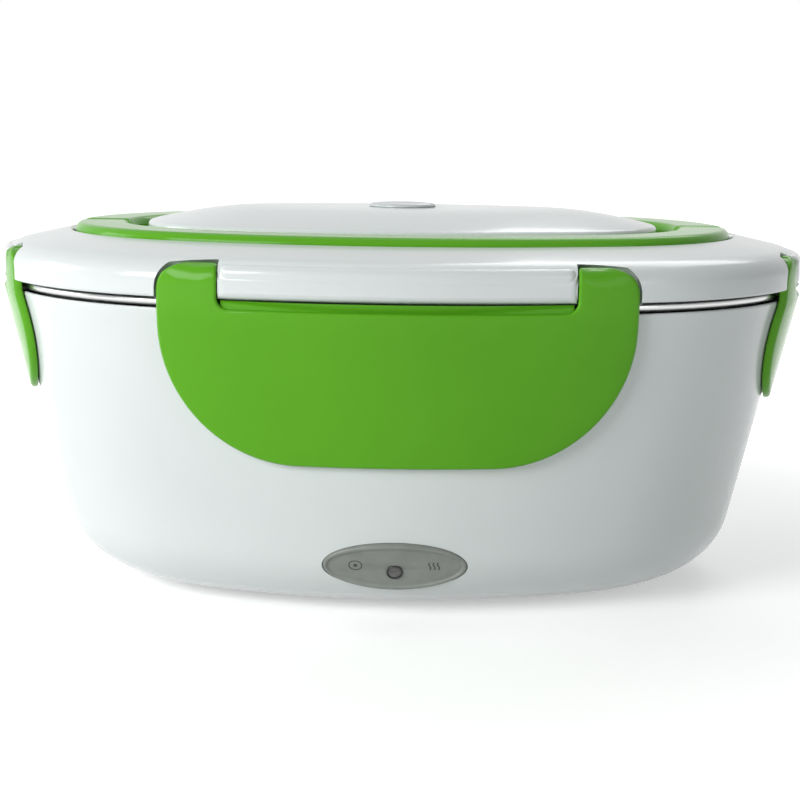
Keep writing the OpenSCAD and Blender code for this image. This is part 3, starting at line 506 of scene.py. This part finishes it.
# The nodes that show as they are built
CARRIED = {
    "bottom_cover": white_satin, "cover_screws": screw_steel, "feet": foot_rubber,
    "inner_liner": white_satin, "heating_plate": alloy, "heater_element": ceramic_buff,
    "heater_clamp": screw_steel, "clamp_screws": screw_steel, "thermostat": black_satin,
    "thermal_fuse": ceramic_buff, "wiring": wire_blue, "inlet_socket": black_satin,
    "inlet_pins": screw_steel, "light_board": board_green,
    "lid_inner_plate": white_satin, "lid_seal": silicone, "handle_pins": screw_steel,
    "latch_pins_front": screw_steel, "latch_pins_rear": screw_steel, "latch_pins_left": screw_steel,
    "latch_pins_right": screw_steel,
}
for name, mat in CARRIED.items():
    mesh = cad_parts[name].data
    mesh.materials.clear()
    mesh.materials.append(mat)


# ---------------------------------------------------------------- base
def base_curve(off=0.0, low=BASE_LOW):
    """The outer line from the bottom's flat up to the straight wall."""
    pts = []
    for i in range(17):
        t = math.pi / 2 + (ROUND_A0 - math.pi / 2) * i / 16
        z = BASE_LOW + (ROUND_Z - BASE_LOW) * (1 - math.sin(t)) / (1 - math.sin(ROUND_A0))
        if z >= low:
            pts.append((wall_in(ROUND_Z) + ROUND_W * (math.cos(ROUND_A0) - math.cos(t)) + off, z))
    return pts


def make_base():
    outer = base_curve()
    inner = base_curve(BASE_WALL, LEDGE_TOP + 0.2)
    # each corner is inset, height and rounding
    corners = [(LEDGE_IN, LEDGE_Z, 0.4), (OPEN_IN, LEDGE_Z, 0.2), (OPEN_IN, BASE_LOW, 0.4)]
    corners += [(x, z, 0) for x, z in outer]
    corners += [(wall_in(z), z, 0) for z in range(22, 83, 4)]
    step_in = RIM_IN + BASE_WALL - STEP_D
    corners += [(RIM_IN, RIM_Z, 0.7), (step_in, RIM_Z, 0.45), (step_in, STEP_Z, 0.2),
                (wall_in(STEP_Z) + BASE_WALL, STEP_Z, 0.3)]
    corners += [(wall_in(z) + BASE_WALL, z, 0) for z in range(76, 20, -5)]
    corners += [(x, z, 0) for x, z in reversed(inner)]
    corners += [(inner[0][0] + 2, LEDGE_TOP, 0.5), (LEDGE_IN, LEDGE_TOP, 0.4)]
    bm = oval_sweep(soften(corners))
    shell = new_piece("tub", bm, "base", white_gloss)
    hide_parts("base_shell")
    cut(shell, *[hook_slot(clip) for clip in CLIPS.values()], inlet_hole(), panel_hole())


def prism(rings):
    """A closed mesh through a row of outlines."""
    bm = bmesh.new()
    rings_to_mesh(bm, rings, close_path=False, cap=True)
    return bm


def hook_slot(clip):
    """The slot in the wall that a latch's rib catches in."""
    half = clip.inner - 3
    low, high, deep = HOOK_Z - 0.9, HOOK_Z + HOOK_H + 0.5, HOOK_IN + 0.3
    face = wall_in(HOOK_Z)
    rings = []
    for k in range(25):
        x = -half + 2 * half * k / 24
        rings.append([Vector((x, -clip.out(x, face + i), z))
                      for i, z in ((-4, low), (deep, low), (deep, high), (-4, high))])
    slot = prism(rings)
    slot.transform(clip.turn)
    return slot


def inlet_hole():
    """The hole in the rear wall that the inlet sits in."""
    outline = stadium(INLET_W + INLET_GAP, INLET_H + INLET_GAP, 12)
    return prism([[Vector((x, y, INLET_Z + z)) for x, z in outline] for y in INLET_CUT])


def panel_hole():
    """The hole in the front wall that the indicator panel sits in."""
    outline = ellipse(BADGE_L / 2 + BADGE_GAP, BADGE_H / 2 + BADGE_GAP, 96)
    return prism([[off_panel(x, y, out) for x, y in outline] for out in PANEL_CUT])


def stadium(length, height, n):
    """Outline of a rounded bar, anticlockwise."""
    r = height / 2
    x = length / 2 - r
    return arc(x, 0, r, -90, 90, n) + arc(-x, 0, r, 90, 270, n)


def ellipse(a, b, n=72):
    return [(a * math.cos(2 * math.pi * k / n), b * math.sin(2 * math.pi * k / n)) for k in range(n)]


# ---------------------------------------------------------------- indicator
def off_panel(x, y, out):
    """A point in the panel's own place: y runs up the wall, out is square to its face."""
    c, t = math.cos(BADGE_TILT), math.sin(BADGE_TILT)
    return Vector((x, -BADGE_Y - y * t - out * c, BADGE_Z + y * c - out * t))


def on_panel(x, y, out):
    """A point of the panel, whose face follows the wall's arc."""
    reach = SIDE_C - off_panel(0, y, out).y
    sag = reach - math.sqrt(reach * reach - x * x)
    point = off_panel(x, y + sag * math.sin(BADGE_TILT), out)
    point.y += sag
    return point


def make_panel():
    a, b = BADGE_L / 2, BADGE_H / 2
    bm = bmesh.new()
    # inset and height of the raised edge, then of the flat face inside it
    levels = [(0.0, -BADGE_T), (0.0, -0.4), (0.12, -0.13), (0.4, 0.0), (0.8, 0.0), (1.0, -0.1), (1.2, -0.42),
              (1.45, -BADGE_STEP)]
    levels += [(2.2 + 0.95 * k, -BADGE_STEP) for k in range(6)]
    outline = ellipse(a, b, 120)
    rings = [[on_panel(x * (a - i) / a, y * (b - i) / b, o) for x, y in outline] for i, o in levels]
    rings_to_mesh(bm, rings, close_path=False, cap=True)
    panel = new_piece("indicator_plate", bm, "base", panel_grey, sharp=60)
    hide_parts("indicator_panel")


def turned_on_panel(profile, n=48):
    """A piece turned round the light's middle: profile is a line of (radius, height off the panel)."""
    bm = bmesh.new()
    rings = []
    for k in range(n):
        c, s = math.cos(2 * math.pi * k / n), math.sin(2 * math.pi * k / n)
        rings.append([on_panel(r * c, -LIGHT_DROP + r * s, o) for r, o in profile])
    rings_to_mesh(bm, rings, close_section=False)
    return bm


def make_lens():
    rim = [(2.2, -0.55), (2.2, -0.2), (2.1, -0.08), (1.95, -0.05), (1.8, -0.1), (1.72, -0.3)]
    new_piece("lens_ring", turned_on_panel(rim), "base", lens_ring)
    bowl = [(1.74, -0.5), (1.7, -0.28), (1.4, -0.16), (1.0, -0.09), (0.5, -0.05), (0.001, -0.04)]
    dome = new_piece("lens_dome", turned_on_panel(bowl), "base", lens_grey)
    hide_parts("indicator_lens")


def make_marks():
    """Plain printed marks on the panel: a ring with a dot, and three rising waves."""
    bm = bmesh.new()

    def stroke(points, width):
        left, right = [], []
        for i, (x, y) in enumerate(points):
            a = Vector(points[max(i - 1, 0)])
            b = Vector(points[min(i + 1, len(points) - 1)])
            t = (b - a).normalized()
            left.append(on_panel(x - t.y * width / 2, y + t.x * width / 2, MARK_TOP))
            right.append(on_panel(x + t.y * width / 2, y - t.x * width / 2, MARK_TOP))
        verts = [(bm.verts.new(p), bm.verts.new(q)) for p, q in zip(left, right)]
        for (p, q), (r, s) in zip(verts, verts[1:]):
            bm.faces.new((p, q, s, r))

    side, up = 10.4, 0.35              # how far the marks stand to each side, and up
    turns = [t * math.pi / 16 for t in range(33)]
    stroke([(-side + 1.7 * math.cos(t), up + 1.5 * math.sin(t)) for t in turns], 0.28)
    stroke([(-side - 0.5, up), (-side + 0.5, up)], 0.9)
    for k in (-1, 0, 1):
        middle = side + 1.15 * k
        stroke([(middle + 0.28 * math.sin(t * math.pi / 4), -0.9 + t * 0.32) for t in range(9)], 0.3)
    new_piece("panel_marks", bm, "base", mark_dark)


# ---------------------------------------------------------------- container
def make_container():
    roll = arc(ROLL_IN, ROLL_Z, ROLL_R, 33, 356, 26)
    mid_in, mid_z = PAN_LOW_IN + PAN_ROUND, PAN_FLOOR + PAN_ROUND
    outside = [(PAN_TOP_IN, FLANGE_Z - SHEET, 1.5)]
    outside += [(x, z, 0) for x, z in arc(mid_in, mid_z, PAN_ROUND, 180, 268, 10)]
    inside = [(x, z, 0) for x, z in arc(mid_in, mid_z, PAN_ROUND - SHEET, 268, 180, 10)]
    inside += [(PAN_TOP_IN + SHEET, FLANGE_Z, 2.0)]
    corners = [(PAN_FLAT, PAN_FLOOR, 0)] + outside[::-1]
    corners += [(x, z, 0) for x, z in reversed(roll)]
    corners += inside[::-1] + [(PAN_FLAT, PAN_FLOOR + SHEET, 0)]
    bm = oval_sweep(soften(corners, closed=False), closed=False, cap=True)
    pan = new_piece("steel_pan", bm, "container", steel, sharp=50)
    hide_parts("steel_container")


# ---------------------------------------------------------------- lid
def crown_line(drop):
    """The crowned middle of the lid's section, moved down by drop."""
    pts = []
    for i in range(13):
        t = i / 12
        pts.append((ISLAND_IN + 3 + (CROWN_IN - ISLAND_IN - 3) * t,
                    ISLAND_Z - drop + 0.5 + (CROWN - 0.5) * math.sin(math.pi / 2 * t)))
    return pts


def make_lid():
    under = WELL_Z - LID_WALL
    # the underside from the middle outwards, then the top back to the middle
    corners = [(LID_FLAT, CROWN_Z - LID_WALL, 0)] + [(x, z, 0) for x, z in reversed(crown_line(LID_WALL))]
    corners += [(ISLAND_IN + LID_WALL, ISLAND_Z - LID_WALL - 0.2, 0.6), (ISLAND_IN + LID_WALL, under, 0.6),
                (KEEP_IN, under, 0.4), (KEEP_IN, KEEP_Z, 0.2),
                (KEEP_OUT, KEEP_Z, 0.2), (KEEP_OUT, under, 0.4),
                (WELL_IN - LID_WALL, under, 0.6), (WELL_IN - LID_WALL, WELL_EDGE - LID_WALL - 0.5, 0.6),
                (SHOULDER_W, SHOULDER_Z + SHOULDER_H - LID_WALL - 0.2, 2.0),
                (SKIRT_IN + 1.1, SHOULDER_Z + 1.6, 1.0), (SKIRT_IN, SHOULDER_Z - 0.6, 0.5),
                (SKIRT_IN, LID_Z, 0.4), (-LID_OVER, LID_Z, 0.7)]
    shoulder = [(SHOULDER_W + (SHOULDER_W + LID_OVER) * math.cos(math.radians(a)),
                 SHOULDER_Z + SHOULDER_H * math.sin(math.radians(a))) for a in range(180, 104, -5)]
    corners += [(x, z, 0) for x, z in shoulder]
    corners += [(WELL_IN - 0.25, WELL_EDGE - 0.05, 0.9), (WELL_IN, WELL_Z, 1.0), (ISLAND_IN, WELL_Z, 0.9)]
    corners += [(x, z, 0) for x, z in arc(ISLAND_IN + 1.4, ISLAND_Z - 1.4, 1.4, 180, 100, 7)]
    corners += [(x, z, 0) for x, z in crown_line(0)] + [(LID_FLAT, CROWN_Z, 0)]
    bm = oval_sweep(soften(corners, closed=False), closed=False, cap=True)
    lid = new_piece("lid_cover", bm, "lid", white_gloss)
    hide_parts("lid_shell")
    low, high = CROWN_Z - 6, CROWN_Z + 3
    hole = turned([(0.001, low), (PLUG_HOLE, low), (PLUG_HOLE, high), (0.001, high)])
    bmesh.ops.remove_doubles(hole, verts=hole.verts, dist=0.01)
    cutters = [hole]
    for clip in CLIPS.values():
        cutters.append(lower_edge(clip))
        for side in (-1, 1):
            cutters += [ear_pocket(clip, side), bar_end(clip, side)]
    cut(lid, *cutters)


def lower_edge(clip):
    """What is rounded off the lid's lower edge along the hinge bar."""
    half = clip.inner
    outer, mid = -LID_OVER - 1, LID_WALL - LID_OVER
    section = [(outer, LID_Z + LID_WALL), (outer, LID_Z - 1), (mid, LID_Z - 1)]
    section += arc(mid, LID_Z + LID_WALL, LID_WALL, 270, 180, 8)[:-1]
    edge = prism([[Vector((x, -clip.out(x, i), z)) for i, z in section]
                  for x in (-half + half * k / 20 for k in range(41))])
    edge.transform(clip.turn)
    return edge


def ear_pocket(clip, side):
    """Room for an ear to turn in: its roof is round about the pin, and at the ear's outer corner."""
    outside, floor, roof = clip.hinge_y + 60, LID_Z - 2, HINGE_Z + POCKET_BACK
    outline = [(outside, floor), (clip.hinge_y - POCKET_BACK, floor)]
    outline += arc(clip.hinge_y, HINGE_Z, POCKET_BACK, 180, 90, 12) + [(outside, roof)]
    r = EAR_CORNER + POCKET_END
    corner = arc(clip.half - EAR_CORNER, roof - r, r, 90, 0, 12)
    room = prism([[Vector((side * x, -y, min(z, top))) for y, z in outline]
                  for x, top in [(clip.inner - POCKET_SIDE, roof)] + corner])
    room.transform(clip.turn)
    return room


def bar_end(clip, side):
    """What is rounded off the upright edge at the end of a hinge bar."""
    x = clip.inner - POCKET_SIDE
    y = clip.out(x, -LID_OVER)
    start = (x - 5, clip.out(x - 5, -LID_OVER))
    line = soften([(*start, 0), (x, y, 2.2), (x, y - 8, 0)], closed=False, n=8)[1:-1]
    front = line[0][1] + 3
    line = [(line[0][0], front)] + line + [(x + 0.2, line[-1][1]), (x + 0.2, front)]
    end = prism([[Vector((side * a, -b, z)) for a, b in line] for z in (LID_Z - 1, LID_Z + 12)])
    end.transform(clip.turn)
    return end


def bar_section():
    """Front of a hinge bar: inset and height of its points, from the lower edge to the upper one."""
    e = LUG_ROUND
    low = arc(-LUG_OUT + e, LUG_LOW + e, e, 270, 180, 9)
    return low + arc(-LUG_OUT + e, LUG_TOP - e, e, 180, 90, 9)


def make_hinge_bars():
    """The bar of the lid between each latch's ears, and the blocks that hold its pins."""
    for side, clip in CLIPS.items():
        bm = bmesh.new()
        half = clip.inner - POCKET_SIDE
        soft = 2.2
        section = [(2.5, LUG_LOW)] + bar_section() + [(2.5, LUG_TOP)]
        xs = [-half + soft * (1 - math.cos(math.radians(a))) for a in range(0, 90, 9)]
        xs += [-half + soft + (2 * half - 2 * soft) * k / 48 for k in range(49)]
        xs += [half - soft * (1 - math.cos(math.radians(a))) for a in range(81, -1, -9)]
        mid = (LUG_LOW + LUG_TOP) / 2
        rings = []
        for x in xs:
            d = max(0.0, abs(x) - (half - soft)) / soft
            pull = soft * (1 - math.sqrt(max(0.0, 1 - d * d)))
            ring = []
            for i, z in section:
                zz = mid + (z - mid) * (1 - pull / (LUG_TOP - LUG_LOW) * 1.2)
                ring.append(Vector((x, -clip.out(x, i if i > 0 else min(i + pull, 0.8)), zz)))
            rings.append(ring)
        rings_to_mesh(bm, rings, close_path=False, cap=True)
        for s in (-1, 1):
            pin_block(bm, clip, s)
        bm.transform(clip.turn)
        bar = new_piece("hinge_bar_" + side, bm, "lid", white_gloss)
        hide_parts("lid_shell")


def pin_block(bm, clip, side):
    """The solid part of the lid behind and beside an ear: it stops just behind the pocket's walls."""
    low, mid, top, skin = LID_Z + 0.05, HINGE_Z, 95.1, 0.02
    wall = clip.hinge_y - POCKET_BACK - skin
    inner, outer = clip.inner - POCKET_SIDE - skin, clip.half + POCKET_END + skin
    stations = [(clip.inner - 8, False), (clip.inner - 4, False), (inner, False), (inner, True)]
    stations += [(inner + (outer - inner) * k / 10, True) for k in range(1, 11)]
    stations += [(outer, False), (outer + 1, False)]
    rings = []
    for x, free in stations:
        under = 0.0 if x <= inner else -BLOCK_OUT
        section = [(BLOCK_IN, low), (under, low), (min(under, -1.5), low + 1.0), (-BLOCK_OUT, low + 2.4),
                   (-BLOCK_OUT, mid), (1.0, top), (BLOCK_IN, top)]
        ring = []
        for i, z in section:
            y = clip.out(x, i)
            ring.append(Vector((side * x, -(min(y, wall) if free else y), z)))
        rings.append(ring)
    rings_to_mesh(bm, rings, close_path=False, cap=True)


def make_plug():
    # radius, and height above the crown: the stem, then the head with its raised ring
    stem = [(0.001, -3.8), (5.6, -3.8), (6.3, -3.4), (6.7, -2.8), (6.7, 0)]
    head = [(9.5, 0.02), (9.75, 0.15), (9.7, 0.5), (9.4, 0.8), (8.9, 0.95), (8.2, 1.0), (6.4, 0.98),
            (6.0, 0.8), (5.6, 0.75), (2.0, 0.85), (0.001, 0.87)]
    bm = turned([(r, CROWN_Z + z) for r, z in stem + head], 96)
    plug = new_piece("steam_plug", bm, "plug", plug_white)
    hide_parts("vent_plug")


# ---------------------------------------------------------------- latches
def clip_outline(clip):
    """Outline of a latch in its own sheet: x across, y up, and back over the ears' rounded top."""
    low, half, inner = clip.low, clip.half, clip.inner
    bend = EAR_TOP - EAR_ROUND

    def up(z):
        """Height along the sheet of a point that is seen at height z."""
        return z if z <= bend else bend + EAR_ROUND * math.asin(min(1.0, (z - bend) / EAR_ROUND))

    def back(x):
        """Where the top of an ear ends at x, along the sheet."""
        run = clip.inset_at(x, clip.hinge_y - EAR_BACK) - (EAR_ROUND - LID_OVER)
        return bend + EAR_ROUND * math.pi / 2 + max(run, 0.3)

    right = arc(half - clip.corner, low + clip.corner, clip.corner, -90, 0, 22)
    right += [(x, up(z)) for x, z in arc(half - EAR_CORNER, EAR_TOP - EAR_CORNER, EAR_CORNER, 0, 90, 12)]
    edge = half - EAR_CORNER
    right += [(x, back(x)) for x in (edge - (edge - inner - 1) * k / 4 for k in range(5))]
    right.append((inner, back(inner) - 1.0))
    right += arc(inner - NOTCH_CORNER, PANEL_TOP + NOTCH_CORNER, NOTCH_CORNER, 0, -90, 8)
    left = [(-x, y) for x, y in reversed(right)]
    return resample(right + left, 2.4)


def clip_place(clip):
    """Where a point of the sheet comes to lie: along the base's wall, then over the ears' top."""
    def place(x, y, depth):
        bend = EAR_TOP - EAR_ROUND
        if y <= bend:
            above = RIM_IN * max(0, HINGE_Z - y) / (HINGE_Z - RIM_Z)
            inset = (wall_in(y) if y < RIM_Z else above) - LATCH_GAP
            return Vector((x, -clip.out(x, inset - LATCH_T + depth), y))
        turn = min((y - bend) / EAR_ROUND, math.pi / 2)
        run = y - bend - EAR_ROUND * turn
        r = EAR_ROUND - depth
        inset = EAR_ROUND - LID_OVER - r * math.cos(turn) + run
        return Vector((x, -clip.out(x, inset), bend + r * math.sin(turn)))
    return place


def ear_core(bm, clip, side):
    """The solid of an ear behind its face: a barrel round the pin, whose front keeps under that face."""
    skin = 0.45
    x0, x1 = clip.inner + 0.5, clip.half - 0.8
    rings = []
    for k in range(13):
        x = x0 + (x1 - x0) * k / 12
        over = max(0.0, x - (clip.half - EAR_CORNER))
        top = EAR_TOP - EAR_CORNER + math.sqrt(EAR_CORNER ** 2 - over ** 2) - skin
        front = clip.out(x, -LID_OVER) - skin
        r = BARREL_R - 0.02 if 0 < k < 12 else BARREL_R - 0.5
        bend_r = EAR_ROUND - skin
        bend_y, bend_z = front - bend_r, EAR_TOP - EAR_ROUND

        def face(z):
            """How far out the core may reach at height z."""
            return front if z <= bend_z else bend_y + math.sqrt(max(0.0, bend_r ** 2 - (z - bend_z) ** 2))

        section = [(front, HINGE_Z - r)] + arc(bend_y, bend_z, bend_r, 0, 90, 6)
        section += [(min(clip.hinge_y - EAR_BACK, bend_y), bend_z + bend_r)]
        section += [(clip.hinge_y + r * math.cos(math.radians(a)), HINGE_Z + r * math.sin(math.radians(a)))
                    for a in range(115, 246, 10)]
        section += [(clip.hinge_y - EAR_BACK, HINGE_Z - r)]
        rings.append([Vector((side * x, -min(y, face(z)), min(z, top))) for y, z in section])
    rings_to_mesh(bm, rings, close_path=False, cap=True)


def bar_lip(bm, clip):
    """Thin lip of a latch under the hinge bar, kept just outside the circle that clears the bar."""
    half = clip.inner - 1.0
    low = PANEL_TOP - 1.2
    rings = []
    for k in range(41):
        x = -half + 2 * half * k / 40
        corners = [(clip.out(x, i) - clip.hinge_y, z - HINGE_Z) for i, z in bar_section()]
        reach = LIP_GAP + max(math.hypot(y, z) for y, z in corners)
        panel = clip.out(x, -LATCH_GAP - 0.05) - clip.hinge_y
        back = []
        for z in (low + (LIP_TOP - low) * j / 8 for j in range(9)):
            circle = math.sqrt(max(0.0, reach ** 2 - (z - HINGE_Z) ** 2))
            back.append((max(circle, panel), z))
        front = [(y + LIP_T, z) for y, z in reversed(back)]
        rings.append([Vector((x, -clip.hinge_y - y, z)) for y, z in back + front])
    rings_to_mesh(bm, rings, close_path=False, cap=True)


def hook_rib(bm, clip):
    """The rib that catches in the slot under the base's rim."""
    half = clip.inner - 4
    top = HOOK_Z + HOOK_H
    section = [(-1, HOOK_Z), (HOOK_IN - 0.4, HOOK_Z), (HOOK_IN - 0.05, HOOK_Z + 0.6),
               (HOOK_IN, HOOK_Z + 1.0), (HOOK_IN, top - 0.2), (HOOK_IN - 0.2, top), (-1, top)]
    face = wall_in(HOOK_Z) - LATCH_GAP
    rings = []
    for k in range(31):
        x = -half + 2 * half * k / 30
        fade = 1 if 0 < k < 30 else 0.7
        rings.append([Vector((x, -clip.out(x, face + i * fade), z)) for i, z in section])
    rings_to_mesh(bm, rings, close_path=False, cap=True)


def make_clip(side, clip):
    bm = bmesh.new()
    bar_lip(bm, clip)
    moulded_plate(bm, clip_outline(clip), LATCH_T, 0.85, clip_place(clip), step=3.2)
    for s in (-1, 1):
        ear_core(bm, clip, s)
    hook_rib(bm, clip)
    bm.transform(clip.turn)
    piece = new_piece("clip_plate_" + side, bm, "clip_" + side, leaf_green, sharp=50)
    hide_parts("latch_" + side)


# ---------------------------------------------------------------- handle
def make_grip(side):
    """Half of the handle ring: side -1 is the front half, with a round nose at each end."""
    a, b = BAR_IN, BAR_IN + BAR_W
    corners = [(a, BAR_TOP, BAR_ROUND), (b, BAR_TOP, BAR_ROUND),
               (b, BAR_LOW, BAR_LOW_ROUND), (a, BAR_LOW, BAR_LOW_ROUND)]
    section = resample(soften(corners, n=8), 2.5)
    n = 40
    start = 0.0 if side > 0 else math.pi
    spans = [((side * END_C, 0), END_R, start, start + END_ANG),
             ((0, -side * SIDE_C), SIDE_R, start + END_ANG, start + math.pi - END_ANG),
             ((-side * END_C, 0), END_R, start + math.pi - END_ANG, start + math.pi)]
    stations = [(c, r, t0 + (t1 - t0) * i / n) for c, r, t0, t1 in spans for i in range(n)]
    c, r, _, finish_angle = spans[-1]
    stations.append((c, r, finish_angle))
    rings = [[at_station(s, i, z) for i, z in section] for s in stations]
    # keep what lies beyond the pivot line, then close each end with a nose round the pivot
    body = [ring for ring in rings if all(side * p.y >= PIVOT_Y - 1e-6 for p in ring)]

    def nose(ring, first):
        made = []
        for k in range(9):
            t = math.radians(90 * k / 8)
            y = side * (PIVOT_Y - EYE_R * math.sin(t))
            squeeze = max(math.cos(t), 0.02) * (EYE_R / HALF_BAR)
            made.append([Vector((p.x, y, PIVOT_Z + (p.z - PIVOT_Z) * squeeze)) for p in ring])
        return made[::-1] if first else made

    def at_line(ring):
        """The section moved to the pivot line."""
        sx = 1 if ring[0].x > 0 else -1
        return [Vector((sx * (END_C + math.sqrt((END_R - i) ** 2 - PIVOT_Y ** 2)), side * PIVOT_Y, z))
                for i, z in section]

    first, last = at_line(body[0]), at_line(body[-1])
    rings = nose(first, True) + [first] + body + [last] + nose(last, False)
    bm = bmesh.new()
    rings_to_mesh(bm, rings, close_path=False, cap=True)
    name = "front" if side < 0 else "rear"
    piece = new_piece("grip_bar_" + name, bm, "grip_" + name, leaf_green, sharp=50)
    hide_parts("handle_" + name)


make_base()
make_panel()
make_lens()
make_marks()
make_container()
make_lid()
make_hinge_bars()
make_plug()
for side, clip in CLIPS.items():
    make_clip(side, clip)
make_grip(-1)
make_grip(1)


# ---------------------------------------------------------------- floor and light
# The floor's own light near the object and far from it, and where it changes, in metres
GLOW_NEAR, GLOW_FAR, GLOW_FROM, GLOW_TO = 0.42, 1.0, 0.12, 0.42
ROOM_DIM = 0.12
MIDDLE = (0, 0, 0.05)                  # what the softboxes face
# Each softbox: name, place, width and height, watts
LAMPS = [
    ("key", (-0.80, -0.80, 0.50), (0.6, 0.5), 10.2),
    ("left", (-1.10, 0.15, 0.35), (0.5, 0.5), 3.2),
    ("top", (0.05, 0.25, 0.95), (0.9, 0.6), 1.4),
    ("fill", (0.80, -0.90, 0.35), (0.5, 0.5), 1.5),
    ("back", (0.35, 0.85, 0.90), (0.6, 0.5), 2.6),
]


def make_floor():
    """A pale floor that fades to white where only the camera and reflections see it."""
    bm = bmesh.new()
    bmesh.ops.create_grid(bm, x_segments=2, y_segments=2, size=6.0)
    mesh = bpy.data.meshes.new("floor")
    bm.to_mesh(mesh)
    bm.free()
    floor = bpy.data.objects.new("floor", mesh)
    bpy.context.scene.collection.objects.link(floor)
    floor.location.z = -0.0004
    mat = bpy.data.materials.new("floor_white")
    mat.use_nodes = True
    tree = mat.node_tree
    bsdf = tree.nodes["Principled BSDF"]
    bsdf.inputs["Base Color"].default_value = (0.86, 0.86, 0.86, 1)
    bsdf.inputs["Roughness"].default_value = 0.9
    spot = node(tree, "TexCoord").outputs["Object"]
    away = node(tree, "VectorMath", {0: spot}, operation="LENGTH")
    rise = node(tree, "MapRange", {"Value": away.outputs["Value"], "From Min": GLOW_FROM,
                                   "From Max": GLOW_TO, "To Min": GLOW_NEAR, "To Max": GLOW_FAR},
                interpolation_type="SMOOTHSTEP")
    glow = node(tree, "Emission", {"Color": (1, 1, 1, 1), "Strength": rise.outputs["Result"]})
    path = node(tree, "LightPath").outputs
    seen = node(tree, "Math", {0: path["Is Camera Ray"], 1: path["Is Glossy Ray"]}, operation="MAXIMUM")
    none = node(tree, "Emission", {"Color": (0, 0, 0, 1), "Strength": 0.0})
    pick = node(tree, "MixShader", {0: seen.outputs[0], 1: none.outputs[0], 2: glow.outputs[0]})
    both = node(tree, "AddShader", {0: bsdf.outputs[0], 1: pick.outputs[0]})
    tree.links.new(both.outputs[0], tree.nodes["Material Output"].inputs["Surface"])
    floor.data.materials.append(mat)


def make_world():
    """A dim room that looks white to the camera, to reflections and through clear pieces."""
    world = bpy.data.worlds.new("studio")
    world.use_nodes = True
    bpy.context.scene.world = world
    tree = world.node_tree
    tree.nodes.clear()
    out = tree.nodes.new("ShaderNodeOutputWorld")
    path = node(tree, "LightPath").outputs
    dim = node(tree, "Background", {"Color": (0.93, 0.96, 1.0, 1), "Strength": ROOM_DIM})
    bright = node(tree, "Background", {"Color": (1, 1, 1, 1), "Strength": 1.0})
    clear = node(tree, "Math", {0: path["Is Camera Ray"], 1: path["Is Transmission Ray"]},
                 operation="MAXIMUM")
    seen = node(tree, "Math", {0: clear.outputs[0], 1: path["Is Glossy Ray"]}, operation="MAXIMUM")
    pick = node(tree, "MixShader", {0: seen.outputs[0], 1: dim.outputs[0], 2: bright.outputs[0]})
    tree.links.new(pick.outputs[0], out.inputs["Surface"])


def make_softbox(name, place, size, power):
    """A rectangular lamp that faces the middle of the object."""
    lamp = bpy.data.lights.new(name, "AREA")
    lamp.shape = "RECTANGLE"
    lamp.size, lamp.size_y = size
    lamp.energy = power
    holder = bpy.data.objects.new(name, lamp)
    bpy.context.scene.collection.objects.link(holder)
    holder.location = place
    facing = Vector(MIDDLE) - Vector(place)
    holder.rotation_euler = facing.to_track_quat("-Z", "Y").to_euler()


make_floor()
make_world()
for lamp in LAMPS:
    make_softbox(*lamp)
bpy.context.scene.view_settings.view_transform = "Standard"
